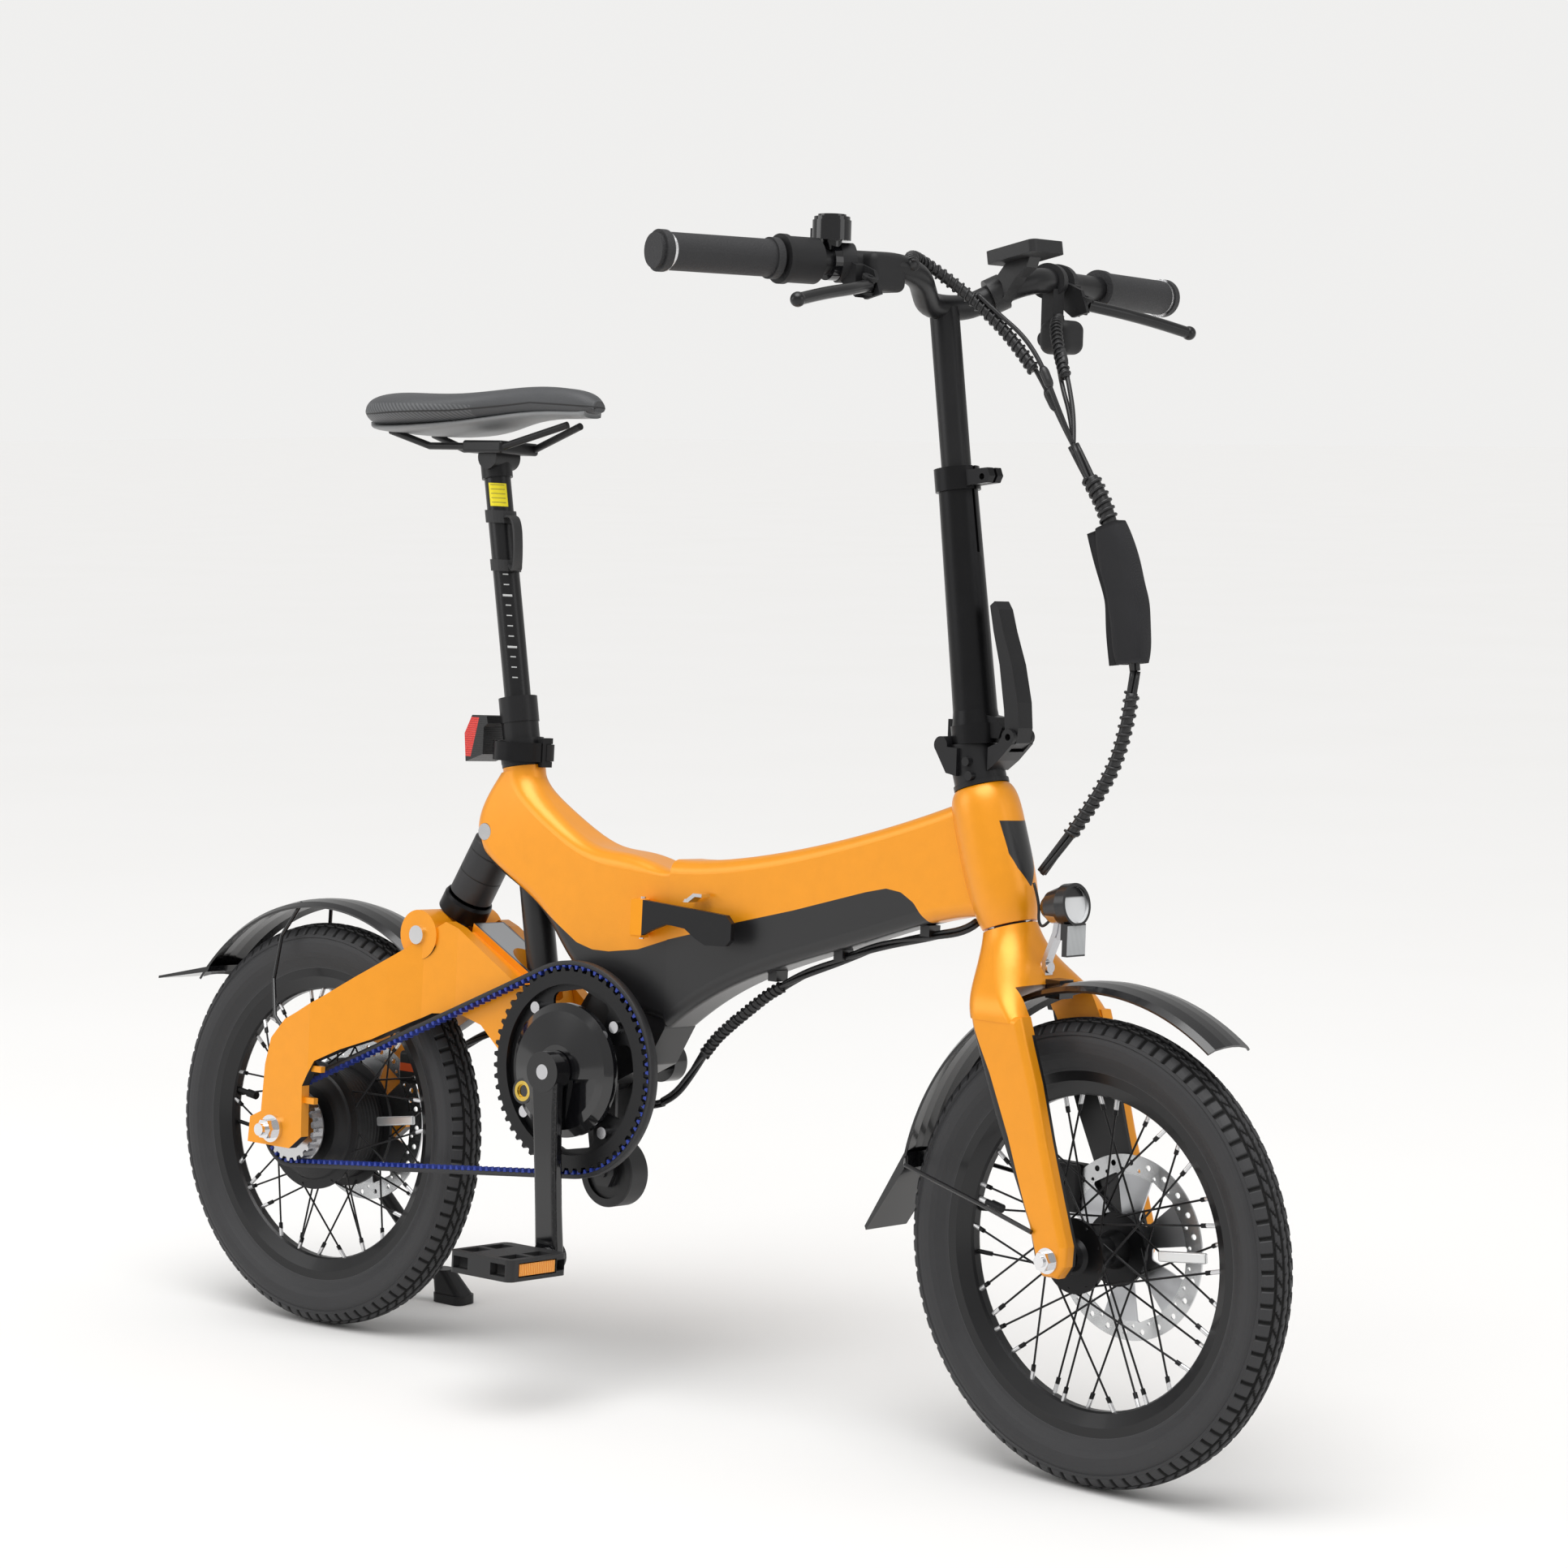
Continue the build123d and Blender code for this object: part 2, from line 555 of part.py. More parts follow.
def kickstand():
    """The side stand on the left dropout, its foot flat on the floor."""
    pin_x, pin_y, pin_z = kickstand_pivot()
    lean = math.radians(lean_angle)
    foot_x, foot_y = 43.0, 146.0
    foot_z = wheel_radius + (foot_y * math.sin(lean) - stand_height) / math.cos(lean)
    floor = Plane(origin=(foot_x, foot_y, foot_z), x_dir=(1, 0, 0), z_dir=(0, -math.sin(lean), math.cos(lean)))
    pad = extrude(floor * RectangleRounded(42, 26, 9), 9.0)
    knee = (-30.0, 110.0, 118.0)
    ankle = (foot_x - 4, foot_y - 1, foot_z + 10)
    leg = rod((pin_x, pin_y + 2.5, pin_z), knee, 7.5) + Pos(*knee) * Sphere(7.5) + rod(knee, ankle, 7.5)
    shoe = loft([
        floor * Pos(0, 0, 8.5) * RectangleRounded(40, 24, 8),
        floor * Pos(-10, -4, 34) * RectangleRounded(21, 19, 8),
    ])
    hub = across(pin_x, pin_z, 84.0, 103.7, 13.0)
    solid = leg + pad + shoe + hub
    solid -= across(pin_x, pin_z, 60, 130, 5.0 + running_gap)
    solid -= block(pin_x - 60, pin_x + 60, 60, 83.8, pin_z - 60, pin_z + 60)
    solid -= across(pin_x, pin_z, 103.8, 130, 9.4)
    save("kickstand", solid)


def rear_fender():
    x, z = 3.0, 205.0
    start, end = 38.0, 144.0
    section = [(213, -28), (217, -22), (219.5, -10), (220, 0), (219.5, 10), (217, 22), (213, 28),
               (211, 27), (215, 21), (217.3, 9.5), (217.8, 0), (217.3, -9.5), (215, -21), (211, -27)]
    arc = sector(section, x, z, start, end)
    flap_at = math.radians(end - 2)
    foot = (x + 214 * math.cos(flap_at), z + 214 * math.sin(flap_at))
    flap = slab([(foot[0] + 10, foot[1] + 7), (foot[0] - 66, foot[1] - 10), (foot[0] - 66, foot[1] - 12.5),
                 (foot[0] + 7, foot[1] + 1)], -27, 27)
    wires = []
    for side in (-1, 1):
        wires += wire([(-32, side * 20, 419.5), (-46, side * 33, 385), (-42, side * 45, 342), (-20, side * 62, 308),
                       (4, side * 65.3, 290)], 2.0)
    mudguard = arc + flap + wires + block(140, 150, -12, 12, 356, 372)
    save("rear_fender", mudguard - nodes["swingarm"])


def wire(points, radius):
    """A bent wire: round bars with a ball at every bend."""
    pieces = [rod(a, b, radius) for a, b in zip(points, points[1:])]
    return pieces + [Pos(*p) * Sphere(radius) for p in points[1:-1]]


def sector(section, x, z, start, end):
    """A part turn, from start to end degrees above the forward direction, of a (radius, y) section."""
    turn = Axis((x, 0, z), (0, -1, 0))
    points = [(x + r, y, z) for r, y in section]
    face = make_face(Polyline(*points, close=True)).rotate(turn, start)
    return revolve(face, turn, end - start)


def shock():
    top, low = shock_upper_eye, shock_lower_eye
    run = math.hypot(top[0] - low[0], top[1] - low[1])
    ux, uz = (low[0] - top[0]) / run, (low[1] - top[1]) / run
    spot = lambda d: (top[0] + ux * d, 0.0, top[1] + uz * d)
    can = rod(spot(15), spot(74), 21.5) + cone(spot(9), spot(15), 14, 21.5)
    can += across(*top, -12, 12, 10) + rod(spot(5), spot(12), 9)
    can -= rod(spot(26), spot(80), 9.0 + running_gap)
    can -= bore_through(*top, 5.0)
    save("shock_body", can)
    shaft = rod(spot(46), spot(run - 6), 9.0)
    # the can sinks into this cup as the shock closes
    cup = cone(spot(77), spot(80), 23.2, 24.5) + rod(spot(80), spot(94.9), 24.5) - rod(spot(70), spot(93.4), 21.8)
    cup += cone(spot(94.9), spot(103), 14, 12.5)
    eye = across(*low, -13, 13, 10)
    rod_part = shaft + cup + eye
    rod_part -= bore_through(*low, 6.8)
    save("shock_rod", rod_part)


def rear_brake():
    """A caliper over the left edge of the rear rotor, on a bracket from the swingarm."""
    body = soft_block(48, 84, 44.5, 66, 244, 276, 4)
    slot = block(40, 92, 48.4, 52.4, 180, 267)
    tab = slab([(50, 270), (70, 270), (70, 296), (56, 296)], 54.5, 62)
    save("rear_caliper", body + tab - slot - nodes["swingarm"])


# ---------------------------------------------------------------- drive
def drive():
    bx, bz = bottom_bracket
    save("bottom_bracket_unit", pipe((bx, -36, bz), (bx, 36, bz), 17.5, 8.5 + running_gap))
    spindle = across(bx, bz, -78, 78, 8.5)
    turn = Axis((bx, 0, bz), (0, 1, 0))
    ring = slab([(bx + px, bz + pz) for px, pz in toothed_outline(ring_radius, ring_radius - 4.0, 55)],
                chain_line - 5.0, chain_line + 5.0)
    ring -= across(bx, bz, -60, -40, 79.5)
    spider = across(bx, bz, chain_line + 1.5, chain_line + 4.5, 82) - across(bx, bz, -60, -40, 30)
    window = slab([(bx + 40, bz - 30), (bx + 66, bz - 36), (bx + 76, bz), (bx + 66, bz + 36), (bx + 40, bz + 30)],
                  chain_line - 9, chain_line + 9, 8)
    spider -= [window.rotate(turn, 90 * i + 5) for i in range(4)]
    ring += spider
    save("chainring", ring)
    bolt = across(bx + 70, bz, chain_line - 6.5, chain_line + 1.5, 5.5)
    ring_bolts = [bolt.rotate(turn, 90 * i + 50) for i in range(4)]
    cover = turned([(26, -36.5), (26, -57), (62.5, -57.5), (62.5, -63), (55, -68), (24, -72.5), (14, -72.5),
                    (14, -40), (20, -40), (20, -36.5)], bx, bz)
    dish = slab([(bx + 10, bz - 58), (bx + 52, bz - 40), (bx + 58, bz - 2), (bx + 16, bz - 6)], -80, -69.2, 4)
    cover -= dish
    cover += across(bx - 44, bz - 24, -69.5, -60, 12.0)
    cover -= across(bx - 44, bz - 24, -70, -67, 6.5)
    save("gear_cover", cover)
    right_arm = crank_arm(bx, bz).rotate(turn, -crank_angle)
    left_arm = mirrored(crank_arm(bx, bz)).rotate(turn, 180.0 - crank_angle)
    save("crank_arms", group(right_arm, left_arm))
    bolts = [across(bx, bz, side * 85.25 - 6.75, side * 85.25 + 7.25, 7.0) for side in (-1, 1)]
    axles = []
    for side, x, z in pedal_spots():
        axle = rod((x, side * 79, z), (x, side * 104, z), 6.0) + rod((x, side * 95, z), (x, side * 100, z), 8.5)
        axles.append(axle + rod((x, side * 104, z), (x, side * 172, z), 4.5))
    save("crank_axle", group(spindle, *bolts, *ring_bolts, *axles))


def crank_arm(bx, bz):
    """The right crank arm, pointing straight down from the spindle."""
    big = across(bx, bz, -92.0, -74.0, 19.0)
    small = across(bx, bz - crank_length, -94.0, -78.0, 14.0)
    web = loft([
        Plane(origin=(bx, -85, bz - 6), x_dir=(1, 0, 0), z_dir=(0, 0, -1)) * RectangleRounded(33, 13, 4),
        Plane(origin=(bx, -86, bz - 80), x_dir=(1, 0, 0), z_dir=(0, 0, -1)) * RectangleRounded(27, 13, 4),
        Plane(origin=(bx, -86, bz - crank_length), x_dir=(1, 0, 0), z_dir=(0, 0, -1)) * RectangleRounded(27, 14, 4),
    ])
    arm = big + small + web
    arm -= across(bx, bz, -79.0, -70.0, 8.5)
    arm -= across(bx, bz, -96.0, -77.0, 7.0)
    arm -= across(bx, bz - crank_length, -100, -70, 6.0)
    return arm


def pedal_spots():
    """Side, X and Z of the two pedal axles."""
    bx, bz = bottom_bracket
    lean = math.radians(crank_angle)
    dx, dz = crank_length * math.sin(lean), crank_length * math.cos(lean)
    return ((-1, bx + dx, bz - dz), (1, bx - dx, bz + dz))


def pedals():
    for side, x, z in pedal_spots():
        body = block(x - 38, x + 38, -180, -103, z - 10, z + 10)
        body = fillet(body.edges().filter_by(Axis.Z), 7)
        for dx in (-23.5, 23.5):
            body -= [block(x + dx - 8, x + dx + 8, y0, y0 + 24, z - 20, z + 20) for y0 in (-172, -141)]
        for dx in (-33, 33):
            body -= [block(x + dx - 6, x + dx + 6, y0, y0 + 12, z - 5, z + 5) for y0 in (-117.5,)]
        for x0 in (x - 32, x + 14):
            body -= block(x0, x0 + 18, -190, -172, z - 5.5, z + 5.5)
        for x0, x1 in ((x + 34, x + 50), (x - 50, x - 34)):
            body -= block(x0, x1, -168, -118, z - 6.6, z + 6.6)
        for x0, x1 in ((x + 33.5, x + 37.4), (x - 37.4, x - 33.5)):
            body += block(x0, x1, -166.5, -119.5, z - 5.4, z + 5.4)
        body -= rod((x, -173, z), (x, -103, z), 4.5 + running_gap)
        body -= rod((x, -105, z), (x, -95, z), 9.5)
        save("pedal_right" if side < 0 else "pedal_left", body if side < 0 else mirrored(body))


def belt():
    """The toothed belt, as a smooth band round both sprockets."""
    x0, z0 = rear_hub
    x1, z1 = bottom_bracket
    inner0, inner1 = cog_radius + 0.4, ring_radius + 0.4
    gap = math.hypot(x1 - x0, z1 - z0)
    rise = math.atan2(z1 - z0, x1 - x0)
    opening = math.asin((inner1 - inner0) / gap)
    def loop(grow):
        r0, r1 = inner0 + grow, inner1 + grow
        up = rise + math.pi / 2 + opening
        down = rise - math.pi / 2 - opening
        at = lambda x, z, r, a: (x + r * math.cos(a), z + r * math.sin(a))
        top = Line(at(x0, z0, r0, up), at(x1, z1, r1, up))
        front = ThreePointArc(at(x1, z1, r1, up), at(x1, z1, r1, rise), at(x1, z1, r1, down))
        low = Line(at(x1, z1, r1, down), at(x0, z0, r0, down))
        back = ThreePointArc(at(x0, z0, r0, down), at(x0, z0, r0, rise + math.pi), at(x0, z0, r0, up))
        return make_face([top, front, low, back])
    outline = loop(belt_thickness) - loop(0.0)
    save("drive_belt", extrude(side_plane(chain_line + 4.6) * outline, 9.2))


# ---------------------------------------------------------------- fork and front end
def fork():
    hx, hz = front_hub
    lean = math.radians(steer_tilt)
    neck = Plane(origin=steer_at(467.2), x_dir=(math.cos(lean), 0, math.sin(lean)),
                 z_dir=(math.sin(lean), 0, -math.cos(lean)))
    flare = [neck * RectangleRounded(48, 48, 23.5)]
    for x, z, long, wide, corner in ((829, 449, 50, 66, 23), (838, 432, 54, 92, 22), (849, 412, 57, 120, 17),
                                     (858, 394, 59, 129, 12)):
        flare.append(Plane(origin=(x, 0, z), x_dir=(1, 0, 0), z_dir=(0, 0, -1)) * RectangleRounded(long, wide, corner))
    crown = loft(flare)
    crown -= across(939, 212, -45.5, 45.5, 222.5)
    leg = slab([(831, 400), (887, 400), (895, 376), (906, 345), (919, 298), (934, 250), (946, 213), (hx + 16, hz - 4),
                (hx + 8, hz - 15), (hx - 8, hz - 15), (hx - 16, hz - 4), (905, 226), (884, 270), (864, 312),
                (848, 352), (836, 382)], 47, 64)
    leg = fillet(leg.edges().filter_by_position(Axis.Y, 63.9, 64.1), 6.5)
    solid = crown + leg + mirrored(leg)
    solid += rod(steer_at(440), steer_at(612), 14.2)
    solid -= bore_through(hx, hz, 4.6)
    save("fork", solid, "steer")


def front_fender():
    x, z = 939.0, 212.0
    section = [(211, -27), (213, -28), (217, -22), (219.5, -10), (220, 0), (219.5, 10), (217, 22), (213, 28),
               (211, 27), (215, 21), (217.3, 9.5), (217.8, 0), (217.3, -9.5), (215, -21)]
    arc = sector(section, x, z, 55.0, 169.0)
    flap = slab([(731, 262), (687, 191), (688.5, 187.5), (731.5, 248)], -27, 27)
    wires = []
    for side in (-1, 1):
        wires += wire([(731, side * 24, 258), (745, side * 40, 254), (862, side * 66.5, 236), (912, side * 66, 222)], 2.0)
    foot = block(870, 886, -9, 9, 412, 428)
    mudguard = arc + flap + wires + foot
    hook = block(640, 700, -40, 40, 150, 186)
    unsteered = mudguard - hook
    save("front_fender", unsteered - fork_unsteered(), "steer")


def fork_unsteered():
    return nodes["fork"].rotate(steer_axis, -steer_angle)


def front_brake():
    """A caliper behind the left fork leg, over the rear edge of the front rotor."""
    hx, hz = front_hub
    body = soft_block(838, 876, 36, 58, 222, 264, 4)
    slot = block(846, 900, 41.4, 45.4, 180, 300)
    tab = block(874, 912, 50.5, 58, 234, 256)
    save("front_caliper", body + tab - slot - fork_unsteered(), "steer")


def headlight():
    """A round lamp with a square reflector under it, on a bent strap bolted to the fork crown."""
    shell = cone((861, 0, 488), (868, 0, 489), 9, 14) + cone((868, 0, 489), (884, 0, 492), 14, 17.5)
    shell += rod((884, 0, 492), (894, 0, 493.5), 18.5)
    shell -= rod((890.5, 0, 493), (900, 0, 494.5), 15.5)
    plate = block(889, 895, -12, 12, 449, 477)
    strap = slab([(874, 480), (879, 480), (877, 468), (866, 443), (866, 430), (862, 430), (862, 444), (872, 468)], -5, 5)
    neck = block(876, 891, -4, 4, 462, 476)
    bolt = rod((850, 0, 437), (868, 0, 437), 5.0)
    save("headlight", shell + plate + strap + neck + bolt - fork_unsteered(), "steer")


def stem():
    split_low, split_high = (751.0, 622.0), (806.0, 626.6)
    px, pz = stem_pin
    tilt = (split_high[1] - split_low[1]) / (split_high[0] - split_low[0])
    base = rod(steer_at(586.4), steer_at(650), 23)
    base += rod(steer_at(586.4), steer_at(590.2), 24.4)
    above = slab([(700, pz - (px - 700) * tilt), (860, pz + (860 - px) * tilt), (860, 700), (700, 700)], -60, 60)
    lug_front = slab([(800, 602), (812, 611), (827, 626), (828, 636), (819, 639), (812, 627), (800, 622)], -14, 14)
    lug_front += across(*stem_lever_pin, -14, 14, 7.0)
    base -= above
    base += lug_front
    base += slab([(750.2, 619), (764, 598), (776, 596), (776, 620), (757, 621)], -27, 27)
    base += across(px, pz, -27, 27, 7.5)
    base -= block(px - 10, px + 10.6, -10.2, 10.2, pz - 9, pz + 12)
    base -= block(811.4, 840, -9.8, 9.8, 619, 660)
    base -= across(*stem_lever_pin, -30, 30, 3.0)
    base -= rod(steer_at(570), steer_at(614), 14.22)
    for z in (597, 609):
        base += across(*steer_side(z), -25.5, -18, 4.0)
    save("stem_base", base, "steer")
    post = cone(stem_at(628), stem_at(652), 22.5, 19.5) + cone(stem_at(652), stem_at(842), 19.5, 17.25)
    post += rod(stem_at(842), stem_at(862), 20)
    ears = slab([(752, 846), (784, 850), (787, 856), (784, 863), (752, 860)], -9, 9)
    post += ears
    post -= block(758, 800, -1.5, 1.5, 790, 875)
    post -= rod(stem_at(668), stem_at(880), 13.15)
    post += rod(stem_at(613), stem_at(640), 22.5)
    post += slab([(788, 630), (806, 630), (810, 640), (803, 648), (788, 650)], -7.5, 7.5)
    under = slab([(700, pz - (px - 700) * tilt + 0.25), (860, pz + (860 - px) * tilt + 0.25), (860, 560), (700, 560)],
                 -60, 60)
    post -= under
    post += across(px, pz, -9.9, 9.9, 7.5)
    post -= [across(px, pz, y0, y1, 8.1) for y0, y1 in ((-40, -9.9), (9.9, 40))]
    post += slab([(px - 7, pz), (px - 7, pz + 22), (px + 10, pz + 22), (px + 10, pz)], -9.9, 9.9)
    post -= bore_through(px, pz, 4.0 + running_gap)
    post -= across(778, 855, -20, 20, 2.8)
    save("stem_post", post, "steer")
    lever = slab([(816, 626), (821, 622), (828, 627), (830, 640), (828, 662), (820, 694), (809, 722), (803, 741),
                  (798, 748), (793, 744), (798, 722), (806, 694), (813, 655)], -9.5, 9.5)
    lever -= slab([(806, 660), (813, 660), (809, 690), (801, 716), (792, 738), (786, 730), (798, 700)], -6, 6)
    lever -= across(*stem_lever_pin, -20, 20, 3.0 + running_gap)
    save("stem_lever", lever, "steer")


def steer_side(z):
    spot = steer_at(z)
    return spot[0] + 9, spot[2]


# ---------------------------------------------------------------- handlebar
bar_points = [(698, -315, 1030), (729.6, -137, 1031), (752, -90, 1031), (748, -60, 1024), (724, -25, 1003),
              (720, 0, 1001.5), (724, 25, 1003), (748, 60, 1024), (752, 90, 1031), (729.6, 137, 1031),
              (698, 315, 1030)]


def bar_spot(y):
    """The point of the handlebar's centre line at a Y, carried on straight past its ends."""
    runs = list(zip(bar_points, bar_points[1:]))
    a, b = next((run for run in runs[:-1] if y <= run[1][1]), runs[-1])
    share = (y - a[1]) / (b[1] - a[1])
    return tuple(a[i] + share * (b[i] - a[i]) for i in range(3))


def around_bar(y, width, radius, bore=bar_radius):
    """A ring on the handlebar at a Y, as wide as width."""
    here, there = Vector(*bar_spot(y - 0.5)), Vector(*bar_spot(y + 0.5))
    unit = (there - here).normalized()
    middle = Vector(*bar_spot(y))
    start, end = tuple(middle - unit * (width / 2)), tuple(middle + unit * (width / 2))
    return pipe(start, end, radius, bore) if bore else rod(start, end, radius)


def bar_solid(extra=0.0):
    return cord(bar_points, bar_radius + extra)


def on_brake_pivot(low, high, radius):
    """A round piece on the left brake lever's pivot axis, from low to high along it."""
    x, y, z = brake_pivot
    ax, ay, az = brake_pivot_axis
    return rod((x + low * ax, y + low * ay, z + low * az), (x + high * ax, y + high * ay, z + high * az), radius)


def handlebar():
    riser = rod(stem_at(740), stem_at(1001), 13.1)
    save("handlebar", bar_solid() + riser, "bar")
    made = []
    for side in (-1, 1):
        inner = 200 if side > 0 else 203
        mid = (inner + 316) / 2
        grip = around_bar(side * mid, 316 - inner, 15.8)
        grip += around_bar(side * (inner + 3), 7, 17.5)
        grip += around_bar(side * 313, 7, 17.5)
        grip += around_bar(side * 318, 5, 14.5, 0)
        wing = plan_slab([(712, side * 222), (690, side * 214), (676, side * 262), (671, side * 300),
                          (682, side * 309), (704, side * 309)], 1021, 1036)
        wing = fillet(wing.edges().filter_by(Axis.Z), 4)
        wing -= around_bar(side * 262, 140, 15, 0)
        made.append(grip + wing)
    save("grips", group(*made), "bar")
    mounts = []
    for side in (-1, 1):
        clamp = around_bar(134.5, 13, 17)
        arm = slab([(731, 1018), (738, 1034), (764, 1024), (772, 1004), (754, 1000), (742, 1008)], 128, 141)
        arm -= block(752, 790, 131.7, 160, 990, 1040)
        arm += on_brake_pivot(-7.6, -4.7, 7.0) + on_brake_pivot(4.7, 7.6, 7.0)
        arm -= on_brake_pivot(-4.7, 4.7, 6.6)
        arm += on_brake_pivot(-8.4, 8.4, 2.0)
        piece = clamp + arm - bar_solid()
        mounts.append(piece if side > 0 else mirrored(piece))
    left_box = soft_block(744, 778, 93, 123, 966, 996, 9)
    left_box += block(741, 755, 102, 116, 985, 1024) + around_bar(109, 12, 16)
    left_box -= rod((735, 108, 980), (749, 108, 980), 6.5)
    left_box -= bar_solid()
    right_box = soft_block(722, 760, -127, -86, 1008, 1041, 7) - bar_solid()
    save("bar_controls", group(*mounts, left_box, right_box), "bar")
    for side, name in ((-1, "right"), (1, "left")):
        blade = cord([(764, 138, 1011), (776, 168, 1006), (783, 206, 1000), (791, 245, 992)], 5.2)
        blade += Pos(791, 245, 992) * Sphere(6.4)
        blade -= on_brake_pivot(-16, -4.5, 7.6) + on_brake_pivot(4.5, 16, 7.6)
        blade += on_brake_pivot(-4.5, 4.5, 6.0)
        blade -= on_brake_pivot(-16, 16, 2.2)
        save("brake_lever_" + name, blade if side > 0 else mirrored(blade), "bar")
    twist = around_bar(-181.5, 35, 19.5, bar_radius + running_gap)
    twist += around_bar(-196.5, 5, 21, bar_radius + running_gap)
    save("twist_shifter", twist, "bar")
    screen = Plane(origin=(774, 44, 1045), x_dir=(0.985, 0, 0.174), z_dir=(-0.174, 0, 0.985))
    case = extrude(screen * RectangleRounded(58, 42, 6), 11)
    case += slab([(734, 1016), (744, 1030), (756, 1043), (784, 1048), (780, 1038), (768, 1030), (750, 1008)], 39, 53)
    case += around_bar(46, 14, 16)
    case -= bar_solid(0.02)
    save("display", case, "bar")
    bell_x, bell_y, bell_z = bar_spot(-147)
    dome = rod((bell_x, bell_y, 1049), (bell_x, bell_y, 1066), 16.5)
    dome += rod((bell_x, bell_y, 1066), (bell_x, bell_y, 1069), 15.3) + rod((bell_x, bell_y, 1069), (bell_x, bell_y, 1071), 12)
    ring = around_bar(bell_y, 10, 15.5) + rod((bell_x, bell_y, 1041), (bell_x, bell_y, 1049), 9)
    ears = [block(bell_x - 23.5, bell_x - 3, y0, y1, 1041.5, 1048.5)
            for y0, y1 in ((bell_y - 6.4, bell_y - 4.3), (bell_y + 4.3, bell_y + 6.4))]
    bell = dome + ring + ears - bar_solid(0.02)
    bell -= rod((bell_x - 20, bell_y - 8, 1045), (bell_x - 20, bell_y + 8, 1045), 1.6 + running_gap)
    save("bell", bell - mounts[0], "bar")
    lever = block(bell_x - 22, bell_x - 18, bell_y - 4, bell_y + 4, 1045, 1060)
    lever += rod((bell_x - 20, bell_y - 4, 1045), (bell_x - 20, bell_y + 4, 1045), 3.0)
    lever += rod((bell_x - 20, bell_y - 6.3, 1045), (bell_x - 20, bell_y + 6.3, 1045), 1.6)
    save("bell_striker", lever, "bar")


def controls_button():
    save("mode_button", rod((737.5, 108, 980), (746, 108, 980), 6.4), "bar")


# ---------------------------------------------------------------- seat
def seat():
    post = pipe(seat_at(440), seat_at(846), post_radius, 10.6)
    post += rod(seat_at(800), seat_at(846), post_radius - 0.5)
    save("seat_post", post)
    clamp = pipe(seat_at(571.4), seat_at(575), 21, post_radius + 0.12)
    clamp += pipe(seat_at(575), seat_at(597), 21.5, post_radius + 0.12)
    clamp += pipe(seat_at(597), seat_at(613), 17.7, post_radius + 0.12)
    clamp += pipe(seat_at(613), seat_at(637), 18.6, post_radius + 0.12)
    x, z = seat_at(586)[0], 586
    ears = block(x + 17, x + 27, 1.5, 12.5, z - 8, z + 8) + rod((x + 27, 7, z - 8), (x + 27, 7, z + 8), 5.5)
    ears -= rod(seat_at(560), seat_at(610), 21)
    clamp += ears
    clamp -= rod((x + 27, 7, z - 20), (x + 27, 7, z + 20), 2.5 + running_gap)
    save("seat_clamp", clamp)
    band_outer = pipe((x, 0, z - 9), (x, 0, z + 9), 28.5, 24.5)
    cut = plan_slab([(x, 0), (x + 60, 0.9), (x + 60, 60), (x - 60, 60), (x - 60, -16), (x - 24, -10)], z - 20, z + 20)
    lever = band_outer - cut
    lever += block(x + 24.6, x + 29.4, -4, 10, z - 14, z + 14) - block(x + 10, x + 34, 1.2, 14, z - 8.3, z + 8.3)
    lever += rod((x + 27, 7, z - 14), (x + 27, 7, z + 14), 2.5)
    lever -= rod(seat_at(560), seat_at(600), 22.0)
    save("seat_lever", lever)
    lamp = slab([(184, 573), (206, 581), (206, 607), (211, 611), (209, 618), (190, 618), (181, 600)], -21, 21)
    lamp -= rod(seat_at(560), seat_at(640), 21.6)
    save("tail_light", lamp)
    top = seat_at(846)
    clamp_head = across(top[0] + 1, 866, -17, 17, 12) + rod(seat_at(846), seat_at(862), 15)
    clamp_head += soft_block(top[0] - 24, top[0] + 28, -27, 27, 869, 881, 3)
    rails = []
    for side in (-1, 1):
        rails += wire([(72, side * 30, 889), (120, side * 24, 875), (215, side * 22, 875), (285, side * 9, 897)], 3.5)
    save("saddle_clamp", clamp_head + rails)
    stations = [(46, 896, 918, 34), (60, 890, 926, 58), (90, 888, 928, 74), (130, 889, 927, 74), (170, 894, 928, 55),
                (210, 901, 932, 36), (250, 906, 936, 25), (285, 906, 934, 20), (306, 904, 927, 15), (318, 906, 920, 9)]
    sections = []
    for x, low, high, half in stations:
        place = Plane(origin=(x, 0, (low + high) / 2), x_dir=(0, 1, 0), z_dir=(1, 0, 0))
        sections.append(place * RectangleRounded(2 * half, high - low, min(high - low, 2 * half) * 0.42))
    cushion = loft(sections)
    save("saddle", cushion - nodes["saddle_clamp"])


# ---------------------------------------------------------------- cables
def cables():
    """Cable bundles as they lie in this pose."""
    bundle = cord([(762, -8, 1004), (786, 2, 974), (812, 8, 938), (852, 12, 884), (890, 14, 826), (912, 16, 760),
                   (925, 16, 694), (921, 15, 636), (896, 10, 580), (852, 0, 520)], 6.5, "handlebar cables")
    sleeve = pipe((893, 14.2, 817), (922.5, 16, 700), 16.0, 9.5)
    save("handlebar_cables", bundle + sleeve)
    under = cord([(776, 0, 454), (738, 0, 445), (690, 0, 434), (640, 0, 414), (598, 0, 398), (560, 0, 380),
                  (520, 0, 356), (488, 2, 330), (462, 8, 300), (436, 18, 276), (400, 26, 262), (350, 34, 258),
                  (300, 42, 272), (258, 49, 292), (218, 53, 312), (180, 57, 312), (146, 62, 300),
                  (112, 68, 284)], 4.5, "frame cables")
    save("frame_cables", under)


